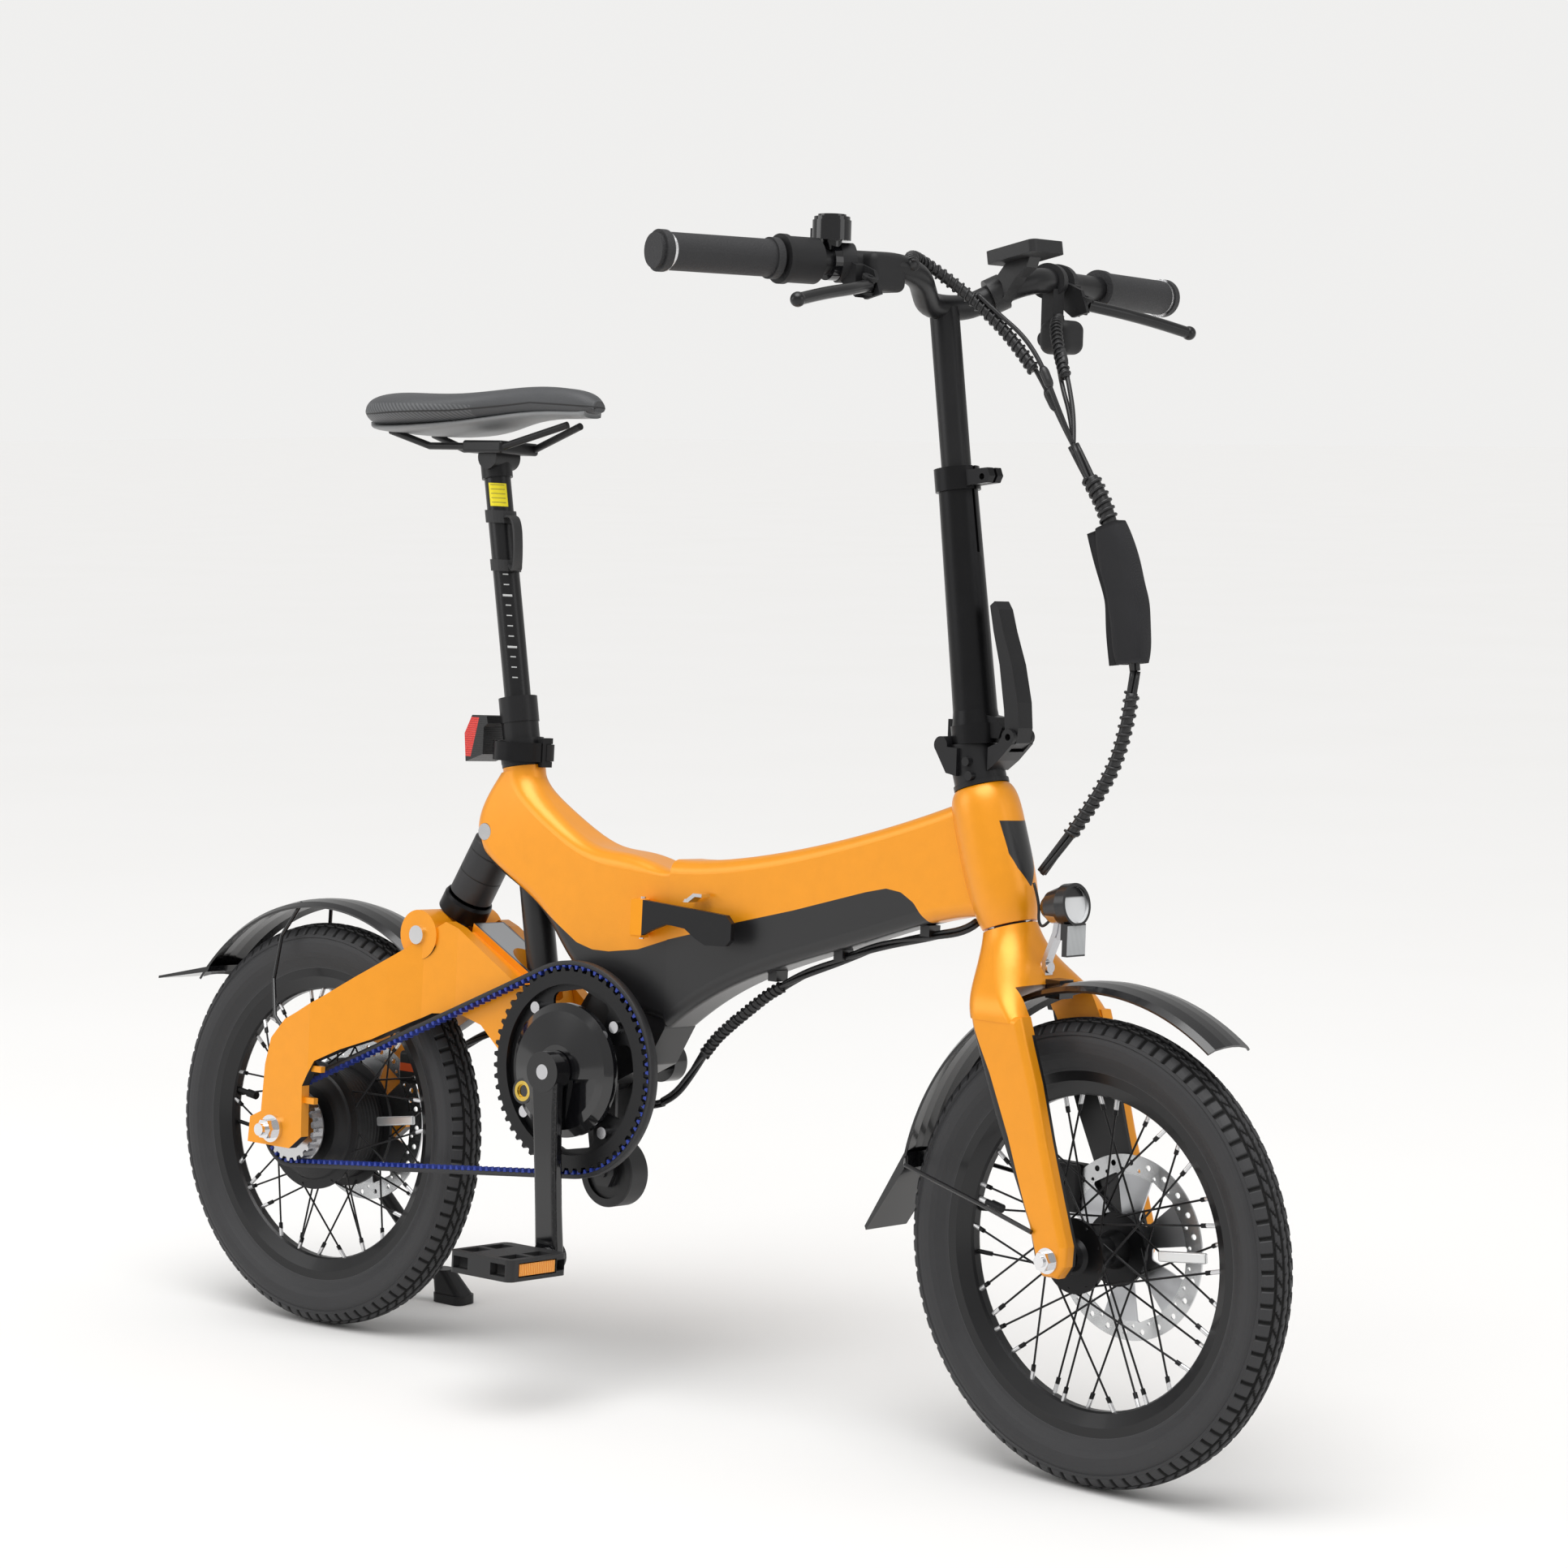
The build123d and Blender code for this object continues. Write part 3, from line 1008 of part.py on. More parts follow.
def main():
    rear_wheel()
    front_wheel()
    rear_frame()
    roller()
    fold_latch()
    front_frame()
    swingarm()
    kickstand()
    rear_fender()
    shock()
    rear_brake()
    drive()
    pedals()
    belt()
    fork()
    front_fender()
    front_brake()
    headlight()
    stem()
    handlebar()
    controls_button()
    seat()
    cables()
    placed = {name: stand(shape) for name, shape in nodes.items()}
    boxes = [shape.bounding_box() for shape in placed.values()]
    for axis in "XYZ":
        low = min(getattr(box.min, axis) for box in boxes)
        high = max(getattr(box.max, axis) for box in boxes)
        print(axis, "from", round(low, 3), "to", round(high, 3), "middle", round((low + high) / 2, 3))
    for name, shape in placed.items():
        export_step(shape, f"parts/{name}.step")


main()
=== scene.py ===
import math

import bpy
from mathutils import Matrix, Vector


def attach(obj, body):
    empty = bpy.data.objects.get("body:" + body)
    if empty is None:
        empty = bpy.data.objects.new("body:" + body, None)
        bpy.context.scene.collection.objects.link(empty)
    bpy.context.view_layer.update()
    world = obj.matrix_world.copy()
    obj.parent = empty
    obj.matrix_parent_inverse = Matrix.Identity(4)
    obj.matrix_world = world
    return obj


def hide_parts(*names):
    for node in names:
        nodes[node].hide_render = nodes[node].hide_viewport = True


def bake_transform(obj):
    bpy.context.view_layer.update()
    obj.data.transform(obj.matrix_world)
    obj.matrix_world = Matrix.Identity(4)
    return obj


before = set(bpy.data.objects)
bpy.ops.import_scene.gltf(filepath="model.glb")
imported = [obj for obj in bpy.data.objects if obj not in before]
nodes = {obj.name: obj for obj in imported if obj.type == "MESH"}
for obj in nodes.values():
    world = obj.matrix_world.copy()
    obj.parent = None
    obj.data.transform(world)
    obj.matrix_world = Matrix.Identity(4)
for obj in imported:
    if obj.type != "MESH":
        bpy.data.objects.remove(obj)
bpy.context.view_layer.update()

# ---------------------------------------------------------------- where things stand
# Lengths below are millimetres in the bicycle's own upright frame; stand() takes them to the row frame.
LEAN = math.radians(4.5)
COS, SIN = math.cos(LEAN), math.sin(LEAN)
HUB_HEIGHT = 200
SHIFT = (-448.34, -59.583, 199.455)
REAR_HUB = (0.0, 200.0)
FRONT_HUB = (929.0, 200.19)
BOTTOM_BRACKET = (367.0, 297.0)
HEAD_TILT = math.radians(17.8)
SEAT_TILT = math.radians(10.87)
STEER_TURN = math.radians(-5)
STEER_POINT = Vector((802, 0, 527))
STEER_DIR = Vector((-math.sin(HEAD_TILT), 0, math.cos(HEAD_TILT)))
STEER = Matrix.Rotation(STEER_TURN, 3, STEER_DIR)
ORANGE = (0.88, 0.32, 0.003)
BLACK = (0.009, 0.009, 0.010)


def stand(p):
    """A point of the upright bicycle, in the row frame, in metres."""
    x, y, z = p
    up = z - HUB_HEIGHT
    return Vector((x + SHIFT[0], y * COS + up * SIN + SHIFT[1], -y * SIN + up * COS + SHIFT[2])) / 1000


def steered(p):
    """A point of the fork and front wheel, drawn straight ahead, after the turn of the steering."""
    return stand(STEER @ (Vector(p) - STEER_POINT) + STEER_POINT)


# ---------------------------------------------------------------- node materials
class Net:
    """A material's node tree with short ways to add to it."""

    def __init__(self, name):
        self.mat = bpy.data.materials.new(name)
        self.mat.use_nodes = True
        self.tree = self.mat.node_tree
        self.shader = self.tree.nodes["Principled BSDF"]
        self.spot = self.add("ShaderNodeTexCoord")

    def add(self, kind, **props):
        node = self.tree.nodes.new(kind)
        for key, value in props.items():
            setattr(node, key, value)
        return node

    def join(self, a, b):
        self.tree.links.new(a, b)

    def put(self, socket, value):
        if hasattr(value, "is_output"):
            self.join(value, socket)
        else:
            socket.default_value = value

    def math(self, kind, a, b=0.0, c=None):
        node = self.add("ShaderNodeMath", operation=kind)
        self.put(node.inputs[0], a)
        self.put(node.inputs[1], b)
        if c is not None:
            self.put(node.inputs[2], c)
        return node.outputs[0]

    def mix(self, share, a, b):
        node = self.add("ShaderNodeMix", data_type="RGBA")
        self.put(node.inputs[0], share)
        self.put(node.inputs[6], a if hasattr(a, "is_output") else (*a, 1))
        self.put(node.inputs[7], b if hasattr(b, "is_output") else (*b, 1))
        return node.outputs[2]

    def blend(self, share, a, b):
        node = self.add("ShaderNodeMix", data_type="FLOAT")
        self.put(node.inputs[0], share)
        self.put(node.inputs[2], a)
        self.put(node.inputs[3], b)
        return node.outputs[0]

    def noise(self, scale, detail=3.0, rough=0.55, vector=None):
        node = self.add("ShaderNodeTexNoise")
        self.join(vector or self.spot.outputs["Object"], node.inputs["Vector"])
        node.inputs["Scale"].default_value = scale
        node.inputs["Detail"].default_value = detail
        node.inputs["Roughness"].default_value = rough
        return node.outputs["Fac"]

    def step(self, value, edge, width):
        """0 below edge, 1 above it, soft over width."""
        node = self.add("ShaderNodeMapRange", interpolation_type="SMOOTHSTEP")
        self.put(node.inputs[0], value)
        node.inputs[1].default_value = edge - width / 2
        node.inputs[2].default_value = edge + width / 2
        return node.outputs[0]

    def both(self, a, b):
        return self.math("MULTIPLY", a, b)

    def off(self, a):
        return self.math("SUBTRACT", 1.0, a)

    def under(self, value, edge, width):
        """1 below edge, 0 above it, soft over width."""
        return self.off(self.step(value, edge, width))

    def near(self, value, edge, width):
        """1 where value is closer to zero than edge, on either side."""
        return self.under(self.math("ABSOLUTE", value), edge, width)

    def between(self, value, low, high, width=0.0006):
        return self.both(self.step(value, low, width), self.under(value, high, width))

    def ring(self, a, b, centre):
        """Distance from a centre in the plane of the axes a and b."""
        across = self.math("POWER", self.math("SUBTRACT", a, centre[0]), 2.0)
        along = self.math("POWER", self.math("SUBTRACT", b, centre[1]), 2.0)
        return self.math("SQRT", self.math("ADD", across, along))

    def axes(self, steer=False):
        """X, Y and Z in the upright bicycle's own frame, in metres, and unsteered if steer."""
        away = self.add("ShaderNodeVectorMath", operation="SUBTRACT")
        self.join(self.spot.outputs["Object"], away.inputs[0])
        away.inputs[1].default_value = [s / 1000 for s in SHIFT]
        up = self.add("ShaderNodeVectorRotate", rotation_type="X_AXIS")
        self.join(away.outputs[0], up.inputs["Vector"])
        up.inputs["Angle"].default_value = LEAN
        raised = self.add("ShaderNodeVectorMath", operation="ADD")
        self.join(up.outputs[0], raised.inputs[0])
        raised.inputs[1].default_value = (0, 0, HUB_HEIGHT / 1000)
        out = raised.outputs[0]
        if steer:
            back = self.add("ShaderNodeVectorRotate", rotation_type="AXIS_ANGLE")
            self.join(out, back.inputs["Vector"])
            back.inputs["Center"].default_value = STEER_POINT / 1000
            back.inputs["Axis"].default_value = STEER_DIR
            back.inputs["Angle"].default_value = -STEER_TURN
            out = back.outputs[0]
        split = self.add("ShaderNodeSeparateXYZ")
        self.join(out, split.inputs[0])
        return split.outputs[0], split.outputs[1], split.outputs[2]

    def along(self, value, points):
        """A height that follows points (position, height) in millimetres, straight between them."""
        x0, x1 = points[0][0], points[-1][0]
        low = min(p[1] for p in points)
        high = max(p[1] for p in points)
        node = self.add("ShaderNodeFloatCurve")
        line = node.mapping.curves[0]
        spots = [((x - x0) / (x1 - x0), (h - low) / max(high - low, 1e-6)) for x, h in points]
        for i, (a, b) in enumerate(spots):
            if i == 0:
                line.points[0].location = (a, b)
            elif i == len(spots) - 1:
                line.points[-1].location = (a, b)
            else:
                line.points.new(a, b)
        for p in line.points:
            p.handle_type = "VECTOR"
        node.mapping.update()
        place = self.math("DIVIDE", self.math("SUBTRACT", value, x0 / 1000), (x1 - x0) / 1000)
        self.join(place, node.inputs["Value"])
        return self.math("MULTIPLY_ADD", node.outputs[0], (high - low) / 1000, low / 1000)

    def normal_axis(self, index):
        split = self.add("ShaderNodeSeparateXYZ")
        self.join(self.spot.outputs["Normal"], split.inputs[0])
        return split.outputs[index]

    def grain(self, height, strength, distance=0.0004):
        bump = self.add("ShaderNodeBump")
        bump.inputs["Strength"].default_value = strength
        bump.inputs["Distance"].default_value = distance
        self.join(height, bump.inputs["Height"])
        self.join(bump.outputs[0], self.shader.inputs["Normal"])

    def repaint(self, mask, colour, rough=None):
        """Another colour, and gloss, where mask is 1."""
        self.base = self.mix(mask, self.base, colour)
        self.join(self.base, self.shader.inputs["Base Color"])
        if rough is not None:
            self.gloss = self.blend(mask, self.gloss, rough)
            self.join(self.gloss, self.shader.inputs["Roughness"])

    def plate(self, mask, metal):
        """Metallic goes from the first to the second of metal where mask is 1."""
        self.join(self.blend(mask, metal[0], metal[1]), self.shader.inputs["Metallic"])


def finish(name, colour, rough, metal=0.0, coat=0.0, scale=900.0, bump=0.12, spread=0.12, tint=0.12,
           specular=0.5):
    """A material whose colour, gloss and fine relief vary a little over the surface."""
    net = Net(name)
    net.shader.inputs["Metallic"].default_value = metal
    net.shader.inputs["Coat Weight"].default_value = coat
    net.shader.inputs["Coat Roughness"].default_value = 0.08
    net.shader.inputs["Specular IOR Level"].default_value = specular
    broad = net.noise(scale / 40, 4.0)
    net.base = net.mix(broad, [c * (1 - tint) for c in colour], [min(c * (1 + tint), 1) for c in colour])
    net.join(net.base, net.shader.inputs["Base Color"])
    net.gloss = net.blend(broad, max(rough - spread / 2, 0.03), rough + spread / 2)
    net.join(net.gloss, net.shader.inputs["Roughness"])
    net.fine = net.noise(scale, 3.0)
    net.grain(net.fine, bump)
    return net


def dress(net, *names):
    for name in names:
        node = nodes[name]
        node.data.materials.clear()
        node.data.materials.append(net.mat)


def orange_paint(name):
    """Satin orange with fine metal flakes under a soft clear coat."""
    net = finish(name, ORANGE, 0.38, metal=0.35, coat=0.45, scale=2600, bump=0.05, spread=0.06, tint=0.05,
                 specular=0.4)
    net.shader.inputs["Coat Roughness"].default_value = 0.28
    flake = net.step(net.noise(5200, 1.0), 0.66, 0.05)
    net.repaint(net.math("MULTIPLY", flake, 0.35), (0.98, 0.46, 0.03))
    return net


# rear frame: orange above a line that drops to the bottom bracket, satin black under it
paint = orange_paint("rear_frame_paint")
x, y, z = paint.axes()
line = paint.along(x, [(100, 557), (240, 475), (345, 413), (365, 408), (385, 408), (420, 413), (470, 430)])
low = paint.under(paint.math("SUBTRACT", z, line), 0.0, 0.0006)
paint.repaint(low, BLACK, 0.42)
paint.plate(low, (0.25, 0.05))
dress(paint, "rear_frame")

# front frame: a black lower panel with a rounded front end, and a plain black badge on the head tube
paint = orange_paint("front_frame_paint")
x, y, z = paint.axes()
line = paint.along(x, [(440, 421), (500, 437), (537, 448), (600, 464), (680, 487), (702, 492), (718, 490),
                       (732, 482), (744, 468), (752, 450), (760, 420), (900, 300)])
low = paint.under(paint.math("SUBTRACT", z, line), 0.0, 0.0006)
badge_width = paint.along(z, [(490, 0), (505, 1), (520, 12), (532, 17), (560, 19), (560.5, 0), (640, 0)])
badge = paint.both(paint.under(paint.math("SUBTRACT", paint.math("ABSOLUTE", y), badge_width), 0.0, 0.0006),
             paint.step(paint.math("MULTIPLY_ADD", z, 0.32, x), 0.802 + 0.32 * 0.527 + 0.012, 0.0006))
badge = paint.both(badge, paint.between(z, 0.505, 0.560))
dark = paint.math("MAXIMUM", low, badge)
paint.repaint(dark, BLACK, 0.4)
paint.plate(dark, (0.25, 0.05))
dress(paint, "front_frame")

# swingarm: orange, with black undersides and a bare metal plate on the sloping top
paint = orange_paint("swingarm_paint")
x, y, z = paint.axes()
under = paint.under(paint.normal_axis(2), -0.35, 0.2)
paint.repaint(under, BLACK, 0.45)
strip = paint.both(paint.both(paint.between(x, 0.203, 0.292), paint.near(y, 0.021, 0.0008)),
             paint.step(paint.normal_axis(2), 0.45, 0.1))
rim_line = paint.both(strip, paint.off(paint.both(paint.between(x, 0.206, 0.289),
                                              paint.near(y, 0.0185, 0.0008))))
paint.repaint(strip, (0.55, 0.56, 0.58), 0.3)
paint.repaint(rim_line, (0.2, 0.2, 0.21), 0.3)
paint.plate(strip, (0.25, 0.95))
dress(paint, "swingarm")

# fork: orange front and outer faces, black along the back edge and inside
paint = orange_paint("fork_paint")
x, y, z = paint.axes(steer=True)
edge = paint.along(z, [(150, 935), (238, 903), (298, 881), (350, 858), (409, 826), (440, 790), (640, 700)])
back = paint.under(paint.math("SUBTRACT", x, edge), 0.0, 0.0006)
inside = paint.near(y, 0.0505, 0.0008)
inside = paint.both(inside, paint.under(z, 0.385, 0.001))
shaft = paint.step(paint.math("MULTIPLY_ADD", x, -0.305, z), 0.468 - 0.305 * 0.822, 0.001)
dark = paint.math("MAXIMUM", back, inside)
paint.repaint(dark, BLACK, 0.42)
paint.repaint(shaft, (0.05, 0.05, 0.05), 0.3)
dress(paint, "fork")

# plain metals, plastics and rubbers
satin = finish("satin_black", BLACK, 0.38, metal=0.1, coat=0.05, scale=1500, specular=0.35)
dress(satin, "stem_base", "stem_lever", "seat_clamp", "saddle_clamp", "kickstand", "bottom_bracket_unit",
      "handlebar")
anodised = finish("black_anodised", (0.012, 0.012, 0.013), 0.33, metal=0.7, scale=2400, bump=0.1, spread=0.1)
dress(anodised, "stem_post", "front_hub", "shock_rod", "seat_lever")
latch = finish("latch_black", BLACK, 0.4, metal=0.2, scale=1500, bump=0.1, specular=0.35)
x, y, z = latch.axes()
barrel = latch.under(x, 0.4405, 0.0004)
latch.repaint(barrel, ORANGE, 0.36)
dress(latch, "frame_latch_lever")
gloss = finish("gloss_black", (0.005, 0.005, 0.006), 0.12, coat=0.3, scale=240, bump=0.02, spread=0.08)
dress(gloss, "crank_arms", "bell", "headset_bearings")
fender = finish("fender_gloss", (0.006, 0.006, 0.007), 0.2, coat=0.3, scale=300, bump=0.03, spread=0.08)
dress(fender, "rear_fender", "front_fender")
moulded = finish("moulded_black", (0.012, 0.012, 0.013), 0.55, scale=3200, bump=0.35, specular=0.35)
dress(moulded, "bar_controls", "twist_shifter", "mode_button", "bell_striker", "front_caliper")
chrome = finish("chrome", (0.78, 0.78, 0.79), 0.16, metal=1.0, scale=700, bump=0.03, spread=0.1)
dress(chrome, "front_axle", "swingarm_fasteners", "frame_pins", "frame_safety_catch")
battery = finish("battery_wrap", (0.05, 0.07, 0.2), 0.4, scale=500, bump=0.1)
dress(battery, "battery_pack")

REAR_CENTRE = (REAR_HUB[0] / 1000, REAR_HUB[1] / 1000)
FRONT_CENTRE = (FRONT_HUB[0] / 1000, FRONT_HUB[1] / 1000)
WHEELS = ((False, REAR_CENTRE, "rear"), (True, FRONT_CENTRE, "front"))
for steer, centre, end in WHEELS:
    rotor = finish(end + "_rotor_steel", (0.62, 0.63, 0.64), 0.26, metal=1.0, scale=400, bump=0.05,
                   spread=0.1)
    x, y, z = rotor.axes(steer=steer)
    away = rotor.ring(x, z, centre)
    rings = rotor.math("SINE", rotor.math("MULTIPLY", away, 9000.0))
    rotor.grain(rotor.math("MULTIPLY_ADD", rings, 0.5, rotor.fine), 0.08)
    rotor.repaint(rotor.under(away, 0.063, 0.001), (0.56, 0.57, 0.59), 0.34)
    dress(rotor, end + "_rotor")

# wheels: rims with a painted highlight along the flange, spokes with silver nipples, a pale reflector and a
# black valve
for steer, centre, end in WHEELS:
    rim = finish(end + "_rim_black", (0.009, 0.009, 0.010), 0.32, metal=0.3, coat=0.1, scale=1200, bump=0.08)
    x, y, z = rim.axes(steer=steer)
    away = rim.ring(x, z, centre)
    # painted highlight: a thin light ring just inside the tyre, where the rim flange catches the light
    rim.repaint(rim.between(away, 0.1556, 0.1573), (0.32, 0.33, 0.34), 0.3)
    dress(rim, end + "_rim")
    spoke = finish(end + "_spoke_wire", (0.016, 0.016, 0.017), 0.3, metal=0.7, scale=900, bump=0.06)
    x, y, z = spoke.axes(steer=steer)
    away = spoke.ring(x, z, centre)
    angle = spoke.math("ARCTAN2", spoke.math("SUBTRACT", z, centre[1]), spoke.math("SUBTRACT", x, centre[0]))
    spoke.repaint(spoke.step(away, 0.1265, 0.0006), (0.72, 0.72, 0.73), 0.22)
    bar_angle = math.radians(8 if not steer else 6)
    bar_along = spoke.math("MULTIPLY", away, spoke.math("COSINE", spoke.math("SUBTRACT", angle, bar_angle)))
    bar_aside = spoke.math("MULTIPLY", away, spoke.math("SINE", spoke.math("SUBTRACT", angle, bar_angle)))
    near = spoke.near(bar_aside, 0.0047, 0.0002)
    flat = spoke.both(near, spoke.between(bar_along, 0.0678, 0.1182, 0.0002))
    middle = spoke.near(y, 0.0024, 0.0002)
    spoke.repaint(spoke.both(flat, middle), (0.75, 0.76, 0.76), 0.25)
    far = spoke.step(spoke.math("ABSOLUTE", angle), math.radians(164), 0.01)
    valve = spoke.both(far, spoke.step(away, 0.105, 0.001))
    valve = spoke.both(valve, spoke.near(y, 0.0042, 0.0002))
    valve = spoke.both(valve, spoke.step(spoke.math("ABSOLUTE", angle), math.radians(169), 0.01))
    spoke.repaint(valve, (0.012, 0.012, 0.012), 0.5)
    dress(spoke, end + "_spokes")

hub = finish("hub_motor_black", (0.012, 0.012, 0.013), 0.42, metal=0.4, scale=1800, bump=0.2)
x, y, z = hub.axes()
fins = hub.math("SINE", hub.math("MULTIPLY", y, 1400.0))
hub.grain(hub.math("MULTIPLY_ADD", fins, 0.6, hub.fine), 0.35, 0.0008)
dress(hub, "hub_motor")
cog = finish("cog_steel", (0.5, 0.5, 0.51), 0.3, metal=1.0, scale=600, bump=0.08)
x, y, z = cog.axes()
cog.repaint(cog.under(y, -0.0445, 0.0006), (0.62, 0.62, 0.63), 0.25)
dress(cog, "rear_cog")
ring = finish("ring_black", (0.008, 0.008, 0.009), 0.38, metal=0.35, scale=1200, bump=0.1)
dress(ring, "chainring")

cover = finish("cover_gloss", (0.005, 0.005, 0.006), 0.1, coat=0.6, scale=200, bump=0.02)
x, y, z = cover.axes()
screw = cover.ring(x, z, (0.323, 0.273))
cover.repaint(cover.between(screw, 0.0055, 0.0095), (0.72, 0.5, 0.08), 0.3)
cover.plate(cover.between(screw, 0.0055, 0.0095), (0.0, 0.9))
dress(cover, "gear_cover")
axle = finish("bright_steel", (0.62, 0.62, 0.64), 0.24, metal=1.0, scale=800, bump=0.05)
dress(axle, "crank_axle")

can = finish("shock_black", (0.022, 0.022, 0.024), 0.42, metal=0.15, scale=1600, bump=0.25)
x, y, z = can.axes()
down = can.math("MULTIPLY_ADD", z, 0.865, can.math("MULTIPLY", x, 0.502))
ridge = can.math("MAXIMUM", can.between(down, 0.5225, 0.5237), can.between(down, 0.4980, 0.4992))
can.repaint(ridge, (0.003, 0.003, 0.003), 0.6)
can.grain(can.math("SUBTRACT", can.math("MULTIPLY", can.fine, 0.3), ridge), 0.5, 0.0008)
dress(can, "shock_body")
caliper = finish("rear_caliper_black", (0.012, 0.012, 0.012), 0.4, metal=0.3, scale=1500, bump=0.15)
x, y, z = caliper.axes()
caliper.repaint(caliper.between(z, 0.256, 0.264), (0.65, 0.09, 0.015), 0.35)
dress(caliper, "rear_caliper")

for end, x0, z0 in (("right", 0.3818, 0.1276), ("left", 0.3522, 0.4664)):
    pedal = finish("pedal_" + end + "_plastic", (0.013, 0.013, 0.014), 0.5, scale=2200, bump=0.4)
    x, y, z = pedal.axes()
    face = pedal.step(pedal.math("ABSOLUTE", pedal.math("SUBTRACT", x, x0)), 0.0334, 0.0002)
    face = pedal.both(face, pedal.near(pedal.math("SUBTRACT", z, z0), 0.0055, 0.0003))
    face = pedal.both(face, pedal.between(pedal.math("ABSOLUTE", y), 0.119, 0.167))
    face = pedal.both(face, pedal.near(pedal.math("SUBTRACT", x, x0), 0.0376, 0.0002))
    cells = pedal.math("ABSOLUTE", pedal.math("SINE", pedal.math("MULTIPLY", y, 1300.0)))
    pedal.repaint(face, (0.8, 0.22, 0.01), 0.18)
    pedal.repaint(pedal.both(face, pedal.step(cells, 0.85, 0.2)), (0.95, 0.5, 0.08), 0.12)
    dress(pedal, "pedal_" + end)

wheel = finish("roller_black", (0.011, 0.011, 0.012), 0.42, scale=1200, bump=0.15)
x, y, z = wheel.axes()
away = wheel.ring(x, z, (0.381, 0.199))
wheel.repaint(wheel.between(away, 0.0, 0.0075), (0.6, 0.6, 0.62), 0.25)
dress(wheel, "roller")

rubber = finish("grip_rubber", (0.022, 0.022, 0.024), 0.62, scale=1800, bump=0.5)
dots = rubber.add("ShaderNodeTexVoronoi")
rubber.join(rubber.spot.outputs["Object"], dots.inputs["Vector"])
dots.inputs["Scale"].default_value = 520
rubber.grain(rubber.math("MULTIPLY_ADD", dots.outputs["Distance"], -0.8, rubber.fine), 0.5, 0.0006)
x, y, z = rubber.axes(steer=True)
band = rubber.between(rubber.math("ABSOLUTE", y), 0.3085, 0.3108)
rubber.repaint(band, (0.7, 0.7, 0.71), 0.2)
rubber.plate(band, (0.0, 0.95))
dress(rubber, "grips")

lever = finish("lever_black", (0.011, 0.011, 0.012), 0.3, metal=0.4, coat=0.2, scale=1400, bump=0.08)
dress(lever, "brake_lever_right", "brake_lever_left")
screen = finish("display_black", (0.010, 0.010, 0.011), 0.42, scale=2600, bump=0.2)
dress(screen, "display")

post = finish("seat_post_black", (0.009, 0.009, 0.010), 0.3, metal=0.35, coat=0.1, scale=1600, bump=0.08)
x, y, z = post.axes()
foot = post.math("MULTIPLY_ADD", post.math("SUBTRACT", z, 0.3785), -math.tan(SEAT_TILT), 0.2786)
out = post.math("MULTIPLY_ADD", post.math("SUBTRACT", x, foot), 0.63, post.math("MULTIPLY", y, -0.77))
sideways = post.math("MULTIPLY_ADD", post.math("SUBTRACT", x, foot), 0.77, post.math("MULTIPLY", y, 0.63))
aside = post.math("ABSOLUTE", sideways)
ticks = post.step(post.math("FRACT", post.math("DIVIDE", z, 0.0098)), 0.9, 0.06)
tick_band = post.both(post.step(out, 0.0, 0.0002), post.under(aside, 0.0026, 0.0003))
long_tick = post.step(post.math("FRACT", post.math("DIVIDE", z, 0.049)), 0.96, 0.02)
long_band = post.both(post.step(out, 0.0, 0.0002), post.under(aside, 0.0045, 0.0003))
scale_marks = post.both(post.math("MAXIMUM", post.both(ticks, tick_band), post.both(long_tick, long_band)),
                   post.between(z, 0.65, 0.772))
post.repaint(scale_marks, (0.55, 0.56, 0.56), 0.5)
label = post.both(post.between(z, 0.819, 0.841), post.step(out, 0.0, 0.0002))
label = post.both(label, post.under(aside, 0.0085, 0.0003))
post.repaint(label, (0.85, 0.72, 0.02), 0.5)
rows = post.step(post.math("FRACT", post.math("DIVIDE", z, 0.0042)), 0.72, 0.1)
post.repaint(post.both(post.both(label, rows), post.under(aside, 0.0068, 0.0003)), (0.45, 0.38, 0.03), 0.5)
dress(post, "seat_post")

lamp = finish("headlight_black", (0.010, 0.010, 0.011), 0.32, coat=0.2, scale=1500, bump=0.12)
x, y, z = lamp.axes(steer=True)
strap = lamp.both(lamp.under(z, 0.4615, 0.0004), lamp.under(x, 0.8875, 0.0004))
strap = lamp.math("MAXIMUM", strap, lamp.both(lamp.between(z, 0.4, 0.4825), lamp.between(x, 0.84, 0.8805)))
face = lamp.both(lamp.step(x, 0.8945, 0.0003), lamp.between(z, 0.4505, 0.4755))
bowl = lamp.both(lamp.between(z, 0.478, 0.51), lamp.step(x, 0.8895, 0.0003))
inner = lamp.ring(y, z, (0.0, 0.493))
lamp.repaint(strap, (0.55, 0.55, 0.57), 0.25)
ribs = lamp.math("ABSOLUTE", lamp.math("SINE", lamp.math("MULTIPLY", y, 2400.0)))
lamp.repaint(face, (0.32, 0.33, 0.34), 0.3)
lamp.repaint(lamp.both(face, lamp.step(ribs, 0.6, 0.3)), (0.55, 0.57, 0.58), 0.2)
lamp.repaint(lamp.both(bowl, lamp.under(inner, 0.0155, 0.0003)), (0.7, 0.71, 0.72), 0.15)
lamp.plate(strap, (0.0, 0.9))
dress(lamp, "headlight")

tail = finish("tail_black", (0.011, 0.011, 0.012), 0.42, scale=1500, bump=0.2)
x, y, z = tail.axes()
lens = tail.math("MULTIPLY_ADD", z, -0.24, x)
red = tail.both(tail.under(lens, 0.0515, 0.0004), tail.between(z, 0.578, 0.616))
cells = tail.math("ABSOLUTE", tail.math("SINE", tail.math("MULTIPLY", z, 1500.0)))
tail.repaint(red, (0.5, 0.012, 0.01), 0.14)
tail.repaint(tail.both(red, tail.step(cells, 0.85, 0.15)), (0.75, 0.05, 0.03), 0.1)
tail.grain(tail.math("MULTIPLY_ADD", cells, 0.7, tail.fine), 0.35, 0.0008)
dress(tail, "tail_light")

